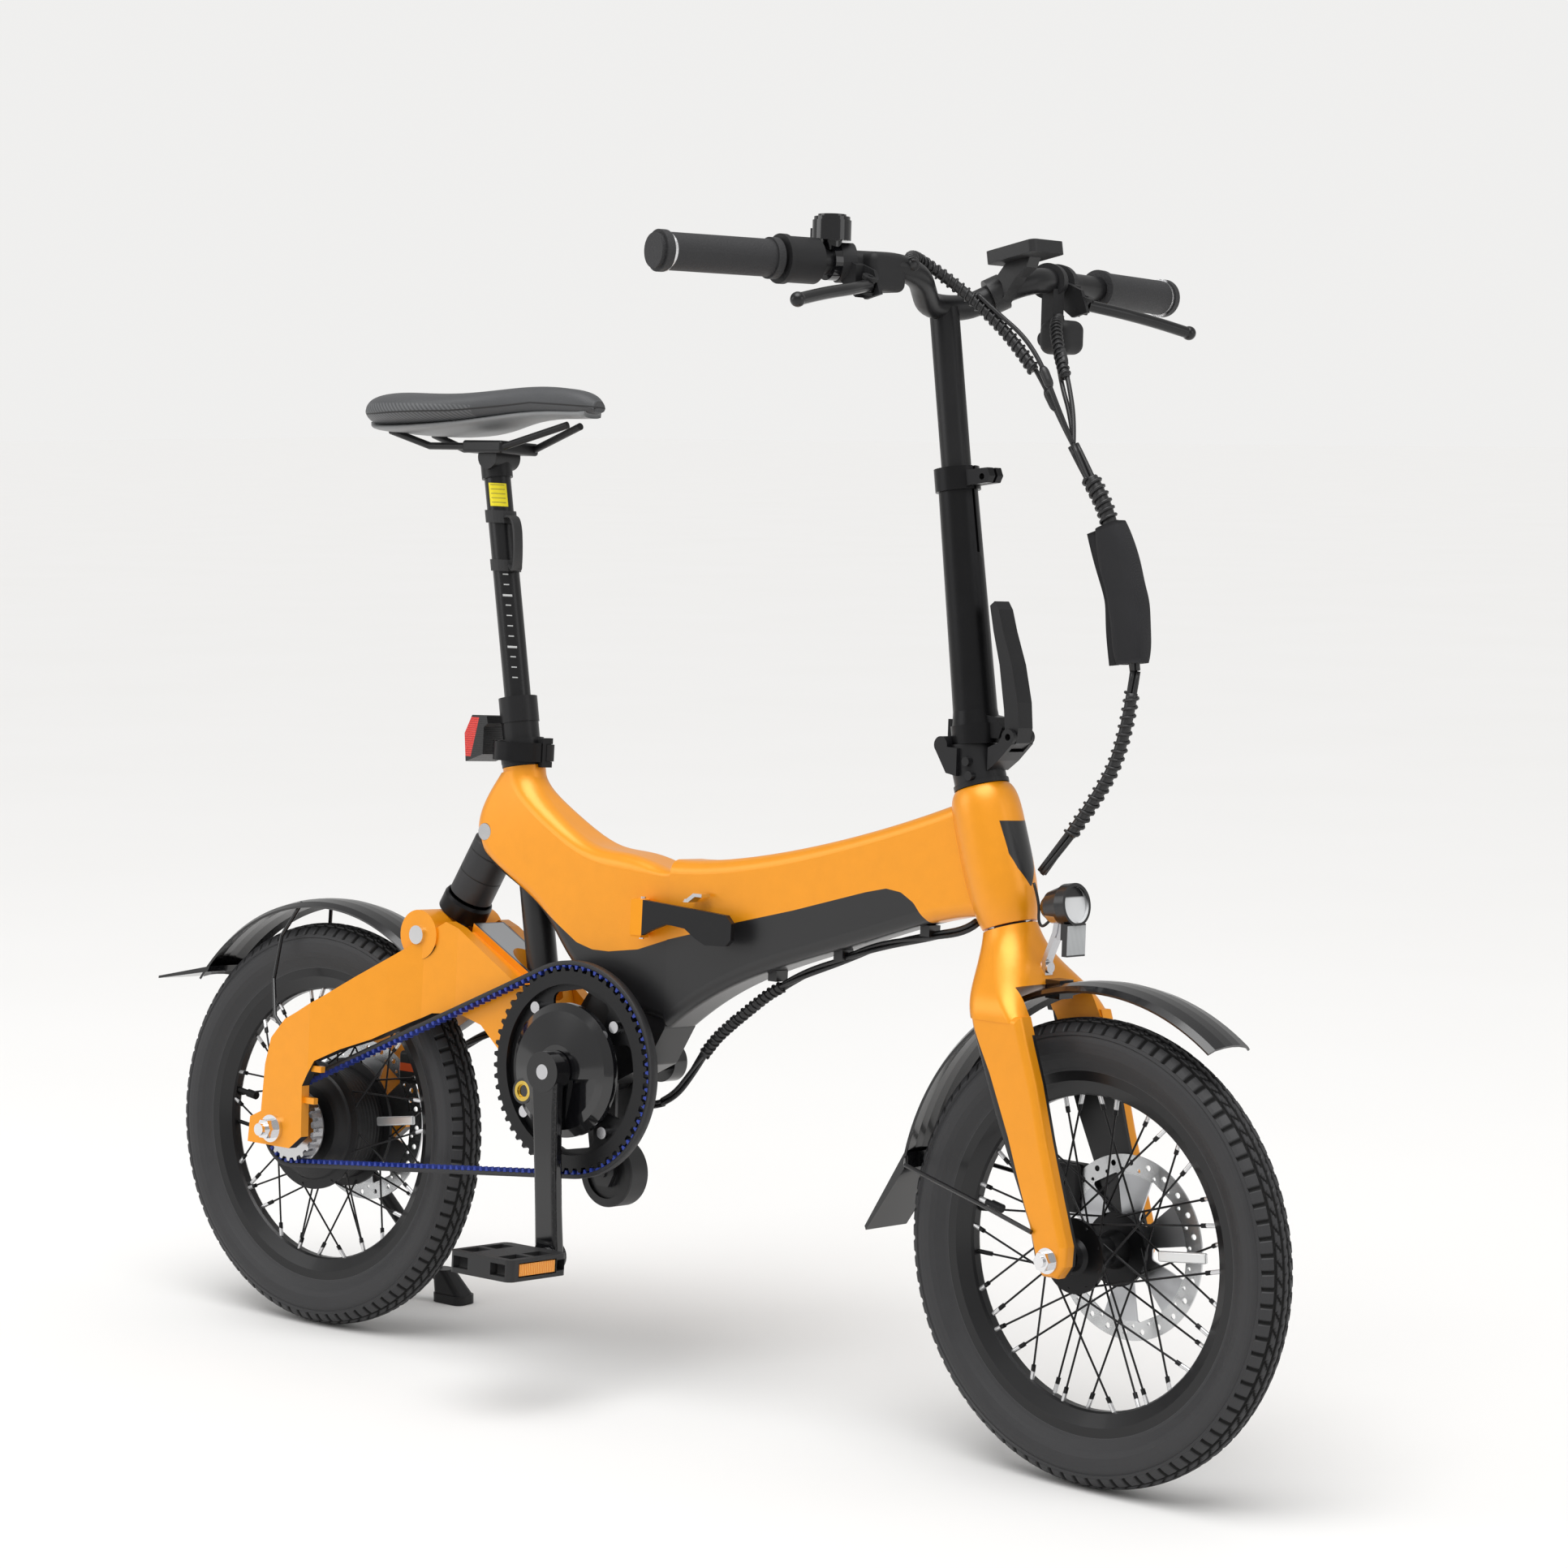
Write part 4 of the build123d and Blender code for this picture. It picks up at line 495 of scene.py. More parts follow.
# ---------------------------------------------------------------- mesh pieces
collection = bpy.context.scene.collection


def piece(name, verts, faces, net, smooth=True, subdivide=0):
    """A mesh object with one material."""
    mesh = bpy.data.meshes.new(name)
    mesh.from_pydata([tuple(v) for v in verts], [], faces)
    mesh.validate()
    mesh.materials.append(net.mat)
    if smooth:
        mesh.polygons.foreach_set("use_smooth", [True] * len(mesh.polygons))
    mesh.update()
    obj = bpy.data.objects.new(name, mesh)
    collection.objects.link(obj)
    if subdivide:
        more = obj.modifiers.new("round", "SUBSURF")
        more.levels = subdivide
        more.render_levels = subdivide
    return obj


def spline_points(points, fine=10):
    """Points along a smooth NURBS line through a route's control points, in metres in the row frame."""
    curve = bpy.data.curves.new("route", "CURVE")
    curve.dimensions = "3D"
    curve.resolution_u = fine
    line = curve.splines.new("NURBS")
    line.points.add(len(points) - 1)
    for spot, p in zip(line.points, points):
        spot.co = (*p, 1.0)
    line.order_u = 3
    line.use_endpoint_u = True
    holder = bpy.data.objects.new("route", curve)
    collection.objects.link(holder)
    mesh = bpy.data.meshes.new_from_object(holder)
    found = [v.co.copy() for v in mesh.vertices]
    bpy.data.objects.remove(holder)
    bpy.data.meshes.remove(mesh)
    bpy.data.curves.remove(curve)
    return found


def route(points, fine=10):
    """The same line, from control points of the upright bicycle."""
    return spline_points([stand(p) for p in points], fine)


def frames(points):
    """A direction and two side vectors at each point of a line, with no twist."""
    made = []
    side = None
    for i in range(len(points)):
        ahead = (points[min(i + 1, len(points) - 1)] - points[max(i - 1, 0)]).normalized()
        if side is None:
            side = ahead.cross(Vector((0.0, 1.0, 0.2))).normalized()
        side = (side - ahead * side.dot(ahead)).normalized()
        made.append((ahead, side, ahead.cross(side)))
    return made


def tube(points, radius, sides=10):
    """Vertices and faces of a closed round tube along points. radius is a number or a list."""
    verts, faces = [], []
    for i, (p, (_, u, v)) in enumerate(zip(points, frames(points))):
        r = radius[i] if isinstance(radius, list) else radius
        for k in range(sides):
            a = 2 * math.pi * k / sides
            verts.append(p + (u * math.cos(a) + v * math.sin(a)) * r)
    for i in range(len(points) - 1):
        for k in range(sides):
            n = (k + 1) % sides
            faces.append((i * sides + k, i * sides + n, (i + 1) * sides + n, (i + 1) * sides + k))
    faces.append(tuple(range(sides - 1, -1, -1)))
    faces.append(tuple((len(points) - 1) * sides + k for k in range(sides)))
    return verts, faces


def around(points, radius, pitch, start=0.0, per_turn=12):
    """A helix round a line, as points."""
    gaps = [0.0]
    for a, b in zip(points, points[1:]):
        gaps.append(gaps[-1] + (b - a).length)
    sides = frames(points)
    steps = max(int(gaps[-1] / pitch * per_turn), 4)
    made, i = [], 0
    for s in range(steps + 1):
        at = gaps[-1] * s / steps
        while i < len(gaps) - 2 and gaps[i + 1] < at:
            i += 1
        share = (at - gaps[i]) / max(gaps[i + 1] - gaps[i], 1e-9)
        p = points[i].lerp(points[i + 1], share)
        u = sides[i][1].lerp(sides[i + 1][1], share)
        v = sides[i][2].lerp(sides[i + 1][2], share)
        a = start + 2 * math.pi * at / pitch
        made.append(p + (u * math.cos(a) + v * math.sin(a)) * radius)
    return made


def bulged(value, power):
    """A value raised to a power, with its sign kept."""
    return abs(value) ** power * (1 if value > 0 else -1)


def merged(parts):
    """Several pairs of vertices and faces as one."""
    verts, faces = [], []
    for v, f in parts:
        base = len(verts)
        verts += v
        faces += [tuple(i + base for i in face) for face in f]
    return verts, faces


def grid(rows, closed_rows=True, closed_columns=False, caps=False):
    """Faces over rows of points, each row the same length."""
    verts = [p for row in rows for p in row]
    n, m = len(rows), len(rows[0])
    faces = []
    for i in range(n if closed_rows else n - 1):
        for k in range(m if closed_columns else m - 1):
            a, b = i * m + k, i * m + (k + 1) % m
            c, d = ((i + 1) % n) * m + (k + 1) % m, ((i + 1) % n) * m + k
            faces.append((a, b, c, d))
    if caps:
        faces.append(tuple(range(m)))
        faces.append(tuple((n - 1) * m + k for k in range(m - 1, -1, -1)))
    return verts, faces


# ---------------------------------------------------------------- tyres
TYRE_STEPS = 440
TYRE_MIDDLE = 176.7
TYRE_SECTION = 23.3
RIM_SEAT = ((152.6, 12.4), (158.2, 14.4))
HALF_PROFILE = [0, 4, 7.6, 10.2, 14, 19, 24, 27.5, 30.5, 33, 38, 44, 50, 57.5, 59, 65.5, 66.5, 69, 74, 79, 84,
                90, 98, 104, 110, 118, 126]
PROFILE = [-a for a in HALF_PROFILE[:0:-1]] + HALF_PROFILE


def tread_depth(step, phi):
    """How far the surface sits under the tread's top, in mm, at one step of the hoop and angle phi."""
    a = abs(phi)
    if a > 66:
        ridge = 0.0
        for at in (74, 79, 104):
            if abs(a - at) < 1.6:
                ridge = -0.25
        return 1.5 + ridge
    if a > 58:
        return 0.5
    if abs(a - 29) < 2.2 or abs(a - 9) < 1.5:
        return 1.9
    if a > 29:
        return 2.1 if (step + (1 if phi > 0 else 0)) % 5 == 0 else 0.0
    if a > 9:
        lean = int((a - 9) / 5)
        return 1.7 if (step + lean * (1 if phi > 0 else -1)) % 5 == 0 else 0.0
    return 1.6 if step % 5 == 2 and phi > 0 or step % 5 == 4 and phi < 0 else 0.0


def tyre(name, centre, place, net):
    """A treaded tyre. Its attribute "groove" says how deep each point lies in the tread, and the tyre
    material paints shade into the grooves from it.
    """
    rows = []
    values = []
    for s in range(TYRE_STEPS):
        turn = 2 * math.pi * s / TYRE_STEPS
        across, up = math.cos(turn), math.sin(turn)
        row = [(r, -y) for r, y in RIM_SEAT]
        depths = [tread_depth(s, phi) for phi in PROFILE]
        for phi, depth in zip(PROFILE, depths):
            a = math.radians(phi)
            r = TYRE_SECTION - depth
            row.append((TYRE_MIDDLE + r * math.cos(a), r * math.sin(a)))
        row += RIM_SEAT[::-1]
        rows.append([place((centre[0] + r * across, y, centre[1] + r * up)) for r, y in row])
        sunk = [max(depth - 0.4, 0.0) if abs(phi) < 66 else 0.0 for phi, depth in zip(PROFILE, depths)]
        values += [0.0, 0.0] + sunk + [0.0, 0.0]
    verts, faces = grid(rows)
    made = piece(name, verts, faces, net, smooth=False)
    groove = made.data.attributes.new("groove", "FLOAT", "POINT")
    groove.data.foreach_set("value", values)
    return made


tread = finish("tyre_rubber", (0.026, 0.026, 0.028), 0.52, scale=2600, bump=0.3, spread=0.2, tint=0.2,
               specular=0.45)
# painted shade: the rubber is darkened where the tread is sunk, read from the "groove" depth
groove_shade = tread.add("ShaderNodeAttribute", attribute_name="groove")
tread.repaint(tread.step(groove_shade.outputs["Fac"], 0.6, 0.6), (0.003, 0.003, 0.003), 0.85)
for name, centre, place, body in (("rear_tyre", REAR_HUB, stand, "rear_wheel"),
                                  ("front_tyre", FRONT_HUB, steered, "front_wheel")):
    made = tyre(name + "_treaded", centre, place, tread)
    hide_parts(name)
    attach(made, body)

# ---------------------------------------------------------------- belt
COG_PITCH = 34.4
RING_PITCH = 95.9
TOOTH_COUNT = 151
SPOTS_PER_TOOTH = 8
BELT_PHASE = 4


def belt_line(count):
    """Evenly spaced points (X, Z) and outward directions round both sprockets."""
    (x0, z0), (x1, z1) = REAR_HUB, BOTTOM_BRACKET
    r0, r1 = COG_PITCH, RING_PITCH
    gap = math.hypot(x1 - x0, z1 - z0)
    rise = math.atan2(z1 - z0, x1 - x0)
    opening = math.asin((r1 - r0) / gap)
    up, down = rise + math.pi / 2 + opening, rise - math.pi / 2 - opening
    straight = math.sqrt(gap * gap - (r1 - r0) ** 2)
    big, small = r1 * (up - down), r0 * (2 * math.pi - (up - down))
    total = 2 * straight + big + small

    def cog_spot(angle):
        return x0 + r0 * math.cos(angle), z0 + r0 * math.sin(angle)

    def ring_spot(angle):
        return x1 + r1 * math.cos(angle), z1 + r1 * math.sin(angle)

    made = []
    for i in range(count):
        s = total * i / count
        if s < straight:
            angle = up
            a, b, t = cog_spot(up), ring_spot(up), s / straight
        elif s < straight + big:
            angle = up - (s - straight) / r1
            a = b = ring_spot(angle)
            t = 0.0
        elif s < 2 * straight + big:
            angle = down
            a, b, t = ring_spot(down), cog_spot(down), (s - straight - big) / straight
        else:
            angle = down - (s - 2 * straight - big) / r0
            a = b = cog_spot(angle)
            t = 0.0
        spot = (a[0] + (b[0] - a[0]) * t, a[1] + (b[1] - a[1]) * t)
        made.append((spot, (math.cos(angle), math.sin(angle))))
    return made


belt_black = finish("belt_black", (0.016, 0.016, 0.018), 0.5, scale=2200, bump=0.3)
belt_blue = finish("belt_blue", (0.012, 0.035, 0.28), 0.45, scale=2200, bump=0.2)
BAND_SECTION = ((1.2, -54.6), (4.9, -54.6), (5.4, -54.1), (5.4, -45.9), (4.9, -45.4), (1.2, -45.4))
TOOTH_SECTION = ((-2, 1.3), (-1, -2.3), (1, -2.3), (2, 1.3))
TOOTH_FACES = [(0, 2, 3, 1), (2, 4, 5, 3), (4, 6, 7, 5), (0, 1, 7, 6), (0, 6, 4, 2), (1, 3, 5, 7)]
rows = []
for (px, pz), (nx, nz) in belt_line(840):
    ring_row = []
    for depth, y in BAND_SECTION:
        ring_row.append(stand((px + nx * depth, y, pz + nz * depth)))
    rows.append(ring_row)
verts, faces = grid(rows, closed_columns=True)
band = piece("belt_band", verts, faces, belt_black)
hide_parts("drive_belt")
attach(band, "rear_frame")
parts = []
spots = belt_line(TOOTH_COUNT * SPOTS_PER_TOOTH)
for t in range(TOOTH_COUNT):
    shape = []
    for k, depth in TOOTH_SECTION:
        (px, pz), (nx, nz) = spots[(t * SPOTS_PER_TOOTH + k + BELT_PHASE) % len(spots)]
        shape.append([stand((px + nx * depth, y, pz + nz * depth)) for y in (-54.75, -45.25)])
    v = [p for pair in shape for p in pair]
    parts.append((v, TOOTH_FACES))
verts, faces = merged(parts)
teeth = piece("belt_teeth", verts, faces, belt_blue, smooth=False)
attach(teeth, "rear_frame")

# ---------------------------------------------------------------- saddle
leather = finish("saddle_cover", (0.062, 0.064, 0.068), 0.5, scale=1500, bump=0.4, spread=0.1, specular=0.45)
pores = leather.add("ShaderNodeTexVoronoi")
leather.join(leather.spot.outputs["Object"], pores.inputs["Vector"])
pores.inputs["Scale"].default_value = 620
x, y, z = leather.axes()
flank = leather.both(leather.between(x, 0.052, 0.19), leather.under(z, 0.913, 0.002))
stripes = leather.math("SINE", leather.math("MULTIPLY", leather.math("ADD", x, z), 700.0))
hatch = leather.step(leather.math("ABSOLUTE", stripes), 0.7, 0.3)
leather.repaint(leather.both(flank, leather.math("MULTIPLY", hatch, 0.5)), (0.16, 0.165, 0.17), 0.42)
seam_line = leather.along(x, [(40, 903), (90, 903), (170, 907), (250, 917), (320, 914)])
seam = leather.near(leather.math("SUBTRACT", z, seam_line), 0.0007, 0.0005)
leather.repaint(seam, (0.02, 0.02, 0.021), 0.6)
relief = leather.math("MULTIPLY_ADD", pores.outputs["Distance"], 0.6, leather.fine)
leather.grain(leather.math("SUBTRACT", relief, seam), 0.35, 0.0006)

# position along the bicycle, heights of the underside and the top, and half the width
stations = [(47, 899, 914, 22), (52, 893, 921, 44), (64, 889.5, 925.5, 61), (90, 888.5, 927.5, 72.5),
            (122, 889.5, 926.5, 73), (150, 892, 926, 64), (176, 895, 927.5, 51.5), (205, 900, 931, 37),
            (236, 904.5, 934.5, 27.5), (266, 906, 935, 22.5), (292, 905.5, 932, 18), (308, 906, 927, 14),
            (316.5, 908, 920, 8)]
SADDLE_SIDES = 28
rows = []
for px, low_z, high_z, half in stations:
    row = []
    for k in range(SADDLE_SIDES):
        a = 2 * math.pi * k / SADDLE_SIDES
        c, s = math.cos(a), math.sin(a)
        wide = half * bulged(c, 0.62)
        tall = (high_z - low_z) / 2 * bulged(s, 0.78)
        mid = (high_z + low_z) / 2
        dip = 0.0
        if s > 0:
            dip = 2.2 * math.exp(-((wide / 9.0) ** 2)) * min(1.0, (px - 47) / 60, (317 - px) / 60)
            dip += 2.6 * (abs(wide) / max(half, 1)) ** 2.5
        if s < 0:
            dip = -1.5
        row.append(stand((px, wide, mid + tall - dip)))
    rows.append(row)
verts, faces = grid(rows, closed_rows=False, closed_columns=True, caps=True)
saddle = piece("saddle_padding", verts, faces, leather, subdivide=2)
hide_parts("saddle")
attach(saddle, "seat_post")
tray = finish("saddle_tray_plastic", (0.23, 0.235, 0.24), 0.5, scale=1900, bump=0.25)
rows = []
tray_section = ((-1, -4), (-0.97, 0.5), (-0.6, 1.6), (0, 2.0), (0.6, 1.6), (0.97, 0.5), (1, -4), (0.6, -6),
                (0, -6), (-0.6, -6))
for px, low_z, _, half in stations[1:-1]:
    rows.append([stand((px, half * 0.86 * c, low_z - 0.2 - drop)) for c, drop in tray_section])
verts, faces = grid(rows, closed_rows=False, closed_columns=True, caps=True)
tray_piece = piece("saddle_tray", verts, faces, tray, subdivide=1)
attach(tray_piece, "seat_post")

# the strap and hook round the seat post
nylon = finish("strap_nylon", (0.015, 0.015, 0.016), 0.5, scale=2400, bump=0.3)
POST_RADIUS = 12.75


def seat_spot(height, out=0.0, turn=0.0):
    """A point round the seat post's axis, at a height, a distance out from it and an angle round it."""
    foot = 278.6 - (height - 378.5) * math.tan(SEAT_TILT)
    return stand((foot + out * math.cos(turn), out * math.sin(turn), height))


parts = []
for low_h, high_h, r in ((803, 815, 15.2), (757, 768, 14.6)):
    rows = []
    for k in range(28):
        a = 2 * math.pi * k / 28
        rows.append([seat_spot(low_h, POST_RADIUS, a), seat_spot(low_h, r, a), seat_spot(high_h, r, a),
                     seat_spot(high_h, POST_RADIUS, a)])
    parts.append(grid(rows, closed_columns=True))
hook_turns = [(809, 14, -0.3), (811, 24, -0.3), (801, 33, -0.35), (782, 34, -0.4), (765, 29, -0.4),
              (757, 21, -0.35), (762, 14, -0.3)]
hook = spline_points([seat_spot(*spot) for spot in hook_turns], 8)
hook_section = ((-0.0055, -0.0011), (-0.0055, 0.0011), (0.0055, 0.0011), (0.0055, -0.0011))
across_bike = stand((0, 1, 0)) - stand((0, 0, 0))
rows = []
for p, (ahead, _, _) in zip(hook, frames(hook)):
    flat_side = (across_bike - ahead * across_bike.dot(ahead)).normalized()
    out_side = ahead.cross(flat_side)
    rows.append([p + flat_side * a + out_side * b for a, b in hook_section])
parts.append(grid(rows, closed_rows=False, closed_columns=True, caps=True))
verts, faces = merged(parts)
strap = piece("seat_post_strap", verts, faces, nylon, smooth=False)
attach(strap, "seat_post")

# ---------------------------------------------------------------- cables
cable = finish("cable_black", (0.013, 0.013, 0.014), 0.4, scale=1600, bump=0.12)
wrap = finish("spiral_wrap", (0.015, 0.015, 0.016), 0.38, scale=1400, bump=0.1)
cloth = finish("sleeve_cloth", (0.018, 0.018, 0.02), 0.75, scale=3000, bump=0.5, specular=0.3)
weave = cloth.add("ShaderNodeTexWave", wave_type="BANDS")
cloth.join(cloth.spot.outputs["Object"], weave.inputs["Vector"])
weave.inputs["Scale"].default_value = 420
weave.inputs["Distortion"].default_value = 2.0
cloth.grain(cloth.math("MULTIPLY_ADD", weave.outputs["Fac"], 0.5, cloth.fine), 0.5, 0.0006)


def strands(points, offset, radius, count, turns):
    """Several round wires side by side round one line."""
    pitch = sum((b - a).length for a, b in zip(points, points[1:])) / turns
    made = []
    for k in range(count):
        helix = around(points, offset, pitch, 2 * math.pi * k / count, per_turn=40)
        made.append(tube(helix, radius, 8))
    return made


def coil(points, radius, pitch, wire):
    """A flat spiral wrap: a tight helix and a core that fills it."""
    helix = around(points, radius - wire, pitch, per_turn=14)
    return [tube(helix, wire, 6), tube(points, radius - wire * 1.5, 10)]


def cable_piece(name, parts, net, bend=None, body=None):
    """A cable piece left unparented with its placement baked in when bend is given, or riding on one body."""
    verts, faces = merged(parts)
    made = piece(name, verts, faces, net)
    if bend:
        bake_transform(made)
    else:
        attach(made, body)
    return made


low_line = route([(851, 0, 517), (896, 10, 580), (921, 15, 636), (925, 16, 694)], 16)
cut = int(len(low_line) * 0.80)
bend_low = ("front_frame", "steering", stand((852, 0, 520)), stand((925, 16, 690)))
lower = cable_piece("cable_lower_wires", strands(low_line, 0.0026, 0.0024, 3, 0.5), cable, bend_low)
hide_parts("handlebar_cables")
cable_piece("cable_lower_wrap", coil(low_line[7:cut + 6], 0.0072, 0.0075, 0.0014), wrap, bend_low)
mid_line = route([(925, 16, 694), (923, 16, 704), (912, 16, 760), (890, 14, 826), (871, 13, 855),
                  (852, 12, 884)], 12)
bend_mid = ("steering", "stem_post", stand((925, 16, 700)), stand((852, 12, 884)))
cable_piece("cable_middle_wires", strands(mid_line, 0.0030, 0.0022, 4, 0.6), cable, bend_mid)
top_part = route([(894, 14.4, 814), (888, 14, 830), (878, 13.4, 846), (871, 13, 856)], 12)
cable_piece("cable_middle_wrap", coil(top_part, 0.0088, 0.0066, 0.0016), wrap, bend_mid)
core = route([(922.5, 16, 700), (918, 16, 738), (908, 15.4, 776), (893, 14.2, 817)], 14)
rows = []
for i, (p, (_, u, v)) in enumerate(zip(core, frames(core))):
    t = i / (len(core) - 1)
    end_round = 1 - 0.22 * (abs(2 * t - 1) ** 6)
    row = []
    for k in range(24):
        a = 2 * math.pi * k / 24
        ripple = 1 + 0.02 * math.sin(3 * a + 8 * t) + 0.015 * math.sin(17 * t + 2 * a)
        c, s = bulged(math.cos(a), 0.6), bulged(math.sin(a), 0.6)
        row.append(p + (u * c * 0.0165 + v * s * 0.0130) * end_round * ripple)
    rows.append(row)
parts = [grid(rows, closed_rows=False, closed_columns=True, caps=True)]
rows = []
for i, (p, (_, u, v)) in enumerate(zip(core, frames(core))):
    edge = p + u * 0.0150
    curl = 0.0016 * math.sin(9 * i / len(core))
    rows.append([edge + v * -0.0010, edge + u * 0.0095 + v * (curl - 0.0008),
                 edge + u * 0.0095 + v * (curl + 0.0008), edge + v * 0.0010])
parts.append(grid(rows, closed_rows=False, closed_columns=True, caps=True))
verts, faces = merged(parts)
sleeve = piece("cable_sleeve", verts, faces, cloth)
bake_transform(sleeve)
bend_top = ("stem_post", "handlebar", stand((852, 12, 884)), stand((800, 4, 955)))
top_routes = [
    [(852, 12, 884), (838, 14, 902), (822, 16, 926), (806, 10, 954), (790, 2, 976), (774, -4, 992),
     (758, -10, 1008)],
    [(852, 12, 884), (842, 8, 906), (832, 4, 930), (818, 4, 956), (800, 2, 978), (778, -6, 996),
     (760, -12, 1012)],
    [(852, 12, 884), (846, 20, 906), (832, 30, 936), (815, 42, 962), (798, 56, 982), (782, 74, 996),
     (770, 92, 1002)],
    [(852, 12, 884), (840, 24, 908), (822, 32, 938), (806, 46, 966), (790, 66, 984), (778, 86, 994),
     (766, 100, 996)],
]
PLUG_PROFILE = [0.0026, 0.0038, 0.0042, 0.0042, 0.0042, 0.0042, 0.0042, 0.0038, 0.0026]
parts = []
plugs = []
for i, control in enumerate(top_routes):
    line = route(control, 10)
    parts.append(tube(line, 0.0021, 8))
    at = 12 + 7 * i
    seg = line[at:at + 9]
    plugs.append(tube(seg, PLUG_PROFILE[:len(seg)], 10))
cable_piece("cable_upper_wires", parts, cable, bend_top)
cable_piece("cable_upper_plugs", plugs, wrap, bend_top)
right_wrap = route([(812, 4, 948), (792, 2, 972), (772, -4, 992), (752, -12, 1010), (733, -24, 1026),
                    (722, -42, 1037), (726, -64, 1040), (742, -86, 1034), (752, -96, 1028)], 12)
cable_piece("cable_right_wrap", coil(right_wrap, 0.0064, 0.0064, 0.0012), wrap, body="handlebar")
left_wrap = route([(826, 32, 944), (812, 42, 962), (797, 56, 982), (783, 74, 996), (772, 94, 1000)], 12)
cable_piece("cable_left_wrap", coil(left_wrap, 0.0058, 0.0062, 0.0012), wrap, body="handlebar")

# the lamp's own wire, from the head tube to the headlight
lamp_wire = route([(846, -4, 508), (853, -4, 492), (852, -3, 474), (858, -2, 470), (866, 0, 482)], 10)
cable_piece("headlight_wire", [tube(lamp_wire, 0.0013, 8)], cable, body="steering")

# under the frame
frame_route = [(786, 0, 470), (776, 0, 461), (738, 0, 452), (690, 0, 442), (640, 0, 423), (598, 0, 406),
               (560, 0, 386), (520, 0, 356)]
bend_frame = ("rear_frame", "front_frame", stand((430, 20, 272)), stand((520, 0, 356)))
front_line = route(frame_route, 10)
run = cable_piece("frame_cable_front", strands(front_line, 0.0024, 0.0020, 3, 1.2), cable, body="front_frame")
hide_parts("frame_cables")
wrap_line = route([(572, 0, 392), (560, 0, 386), (542, 0, 373), (520, 0, 356)], 10)
cable_piece("frame_cable_wrap_front", coil(wrap_line, 0.0060, 0.0060, 0.0011), wrap, body="front_frame")
bend_points = [(520, 0, 356), (504, 1, 344), (488, 2, 330), (462, 8, 300), (436, 18, 276), (418, 22, 268)]
bend_line = route(bend_points, 12)
cable_piece("frame_cable_bend", strands(bend_line, 0.0024, 0.0020, 3, 0.5), cable, bend_frame)
wrap_two = route([(520, 0, 356), (504, 1, 344), (492, 2, 333), (480, 4, 320)], 12)
cable_piece("frame_cable_wrap_bend", coil(wrap_two, 0.0060, 0.0060, 0.0011), wrap, bend_frame)
rear_points = [(418, 22, 268), (400, 26, 262), (350, 34, 258), (300, 42, 272), (276, 46, 283)]
rear_line = route(rear_points, 12)
cable_piece("frame_cable_rear", strands(rear_line, 0.0024, 0.0020, 3, 0.6), cable, body="rear_frame")
arm_points = [(276, 46, 283), (258, 49, 292), (218, 53, 312), (180, 57, 312), (146, 62, 300), (112, 68, 284)]
arm_line = route(arm_points, 12)
bend_arm = ("rear_frame", "swingarm", stand((276, 46, 283)), stand((200, 55, 312)))
cable_piece("frame_cable_arm", strands(arm_line, 0.0024, 0.0020, 3, 0.6), cable, bend_arm)

# ---------------------------------------------------------------- floor, light and camera
floor_net = Net("studio_floor")
soft = floor_net.noise(1.5, 2.0)
pale = floor_net.mix(soft, (0.80, 0.795, 0.785), (0.82, 0.815, 0.81))
floor_net.join(pale, floor_net.shader.inputs["Base Color"])
floor_net.shader.inputs["Roughness"].default_value = 0.9
floor_net.shader.inputs["Specular IOR Level"].default_value = 0.1
FLOOR_HALF = 60.0
FLOOR_GAP = 0.0004
corners = [Vector((a * FLOOR_HALF, b * FLOOR_HALF, -FLOOR_GAP))
           for a, b in ((-1, -1), (1, -1), (1, 1), (-1, 1))]
floor = piece("studio_floor", corners, [(0, 1, 2, 3)], floor_net, smooth=False)

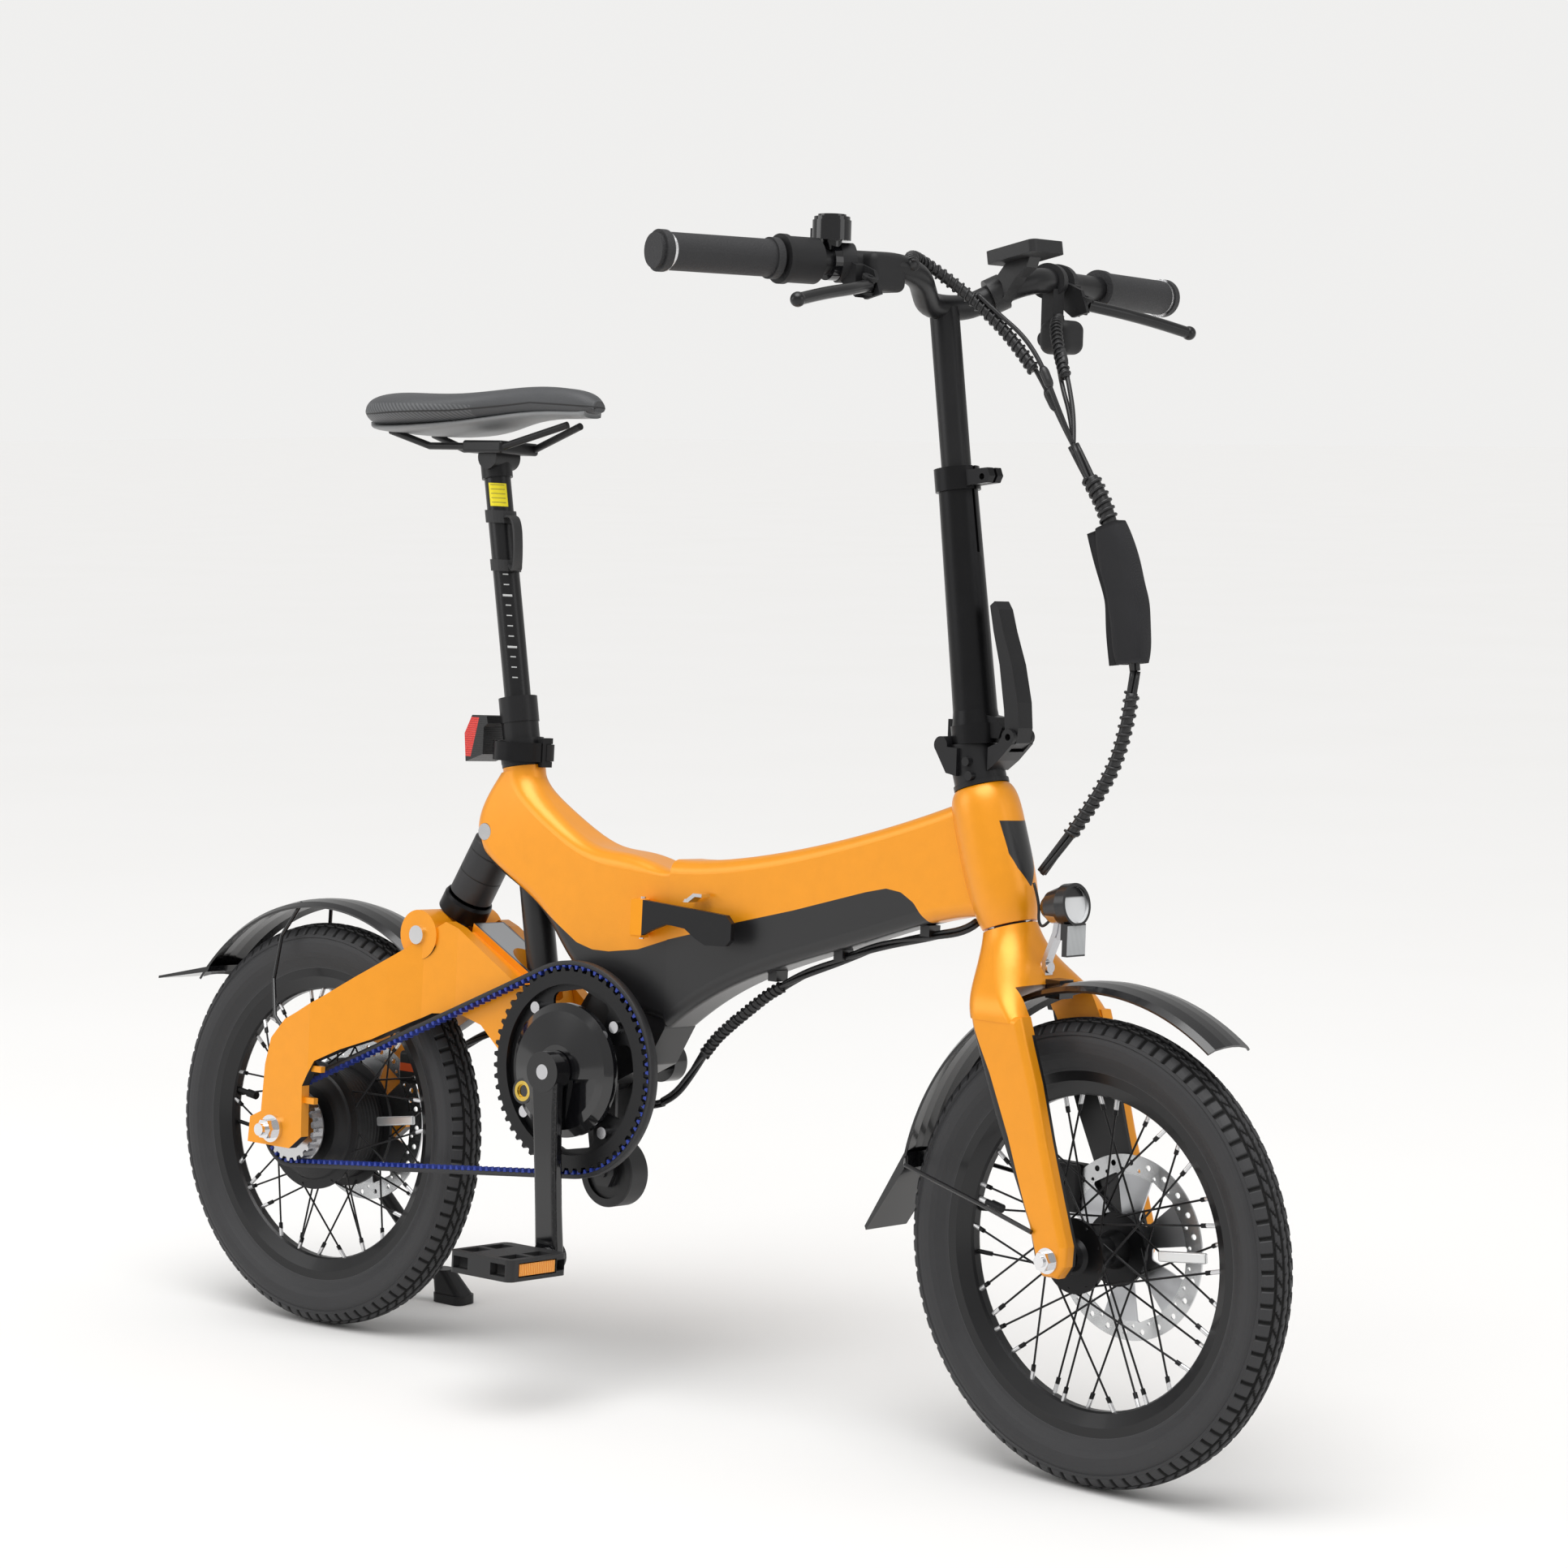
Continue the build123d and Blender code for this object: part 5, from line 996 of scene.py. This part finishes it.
world = bpy.data.worlds.new("studio")
bpy.context.scene.world = world
world.use_nodes = True
sky = world.node_tree.nodes["Background"]
sky.inputs[0].default_value = (1.0, 0.995, 0.985, 1)
seen = world.node_tree.nodes.new("ShaderNodeLightPath")
power = world.node_tree.nodes.new("ShaderNodeMapRange")
world.node_tree.links.new(seen.outputs["Is Camera Ray"], power.inputs[0])
power.inputs[3].default_value = 0.50
power.inputs[4].default_value = 0.87
world.node_tree.links.new(power.outputs[0], sky.inputs[1])
sun_data = bpy.data.lights.new("soft_sun", "SUN")
sun_data.energy = 1.98
sun_data.angle = math.radians(50)
sun = bpy.data.objects.new("soft_sun", sun_data)
sun.rotation_mode = "QUATERNION"
sun.rotation_quaternion = Vector((-0.15, 0.35, -1.0)).to_track_quat("-Z", "Y")
collection.objects.link(sun)


def area(name, where, at, width, height, power):
    lamp_data = bpy.data.lights.new(name, "AREA")
    lamp_data.shape = "RECTANGLE"
    lamp_data.size = width
    lamp_data.size_y = height
    lamp_data.energy = power
    holder = bpy.data.objects.new(name, lamp_data)
    holder.location = where
    holder.rotation_mode = "QUATERNION"
    holder.rotation_quaternion = (Vector(at) - Vector(where)).to_track_quat("-Z", "Y")
    collection.objects.link(holder)


# name, place, aim, width, height and power
area("top_softbox", (0.4, -0.5, 3.2), (0, 0, 0.3), 3.2, 2.6, 20)
area("side_softbox", (-2.4, -2.6, 1.9), (0, 0, 0.5), 2.2, 1.8, 22)
area("front_softbox", (3.2, 0.6, 1.7), (0.2, 0, 0.5), 1.6, 1.6, 9)

# the camera's turn, downward pitch, roll and place, in the upright bicycle's frame
CAMERA_PLACE = (2758.884, -2713.527, 711.815)
turn, pitch, roll = math.radians(38.995), math.radians(2.244), math.radians(2.856)
ahead = Vector((-math.sin(turn) * math.cos(pitch), math.cos(turn) * math.cos(pitch), -math.sin(pitch)))
right = Vector((math.cos(turn), math.sin(turn), 0))
up = right.cross(ahead)
right_rolled = right * math.cos(roll) + up * math.sin(roll)
up_rolled = up * math.cos(roll) - right * math.sin(roll)
lean = Matrix.Rotation(-LEAN, 3, "X")
camera_data = bpy.data.cameras.new("camera")
camera_data.lens = 88.72
camera_data.sensor_width = 36.0
camera_data.clip_end = 200.0
camera = bpy.data.objects.new("camera", camera_data)
collection.objects.link(camera)
axes = [lean @ v for v in (right_rolled, up_rolled, -ahead)]
place = Matrix((axes[0], axes[1], axes[2])).transposed().to_4x4()
place.translation = stand(CAMERA_PLACE)
camera.matrix_world = place
bpy.context.scene.camera = camera
bpy.context.scene.view_settings.view_transform = "Standard"
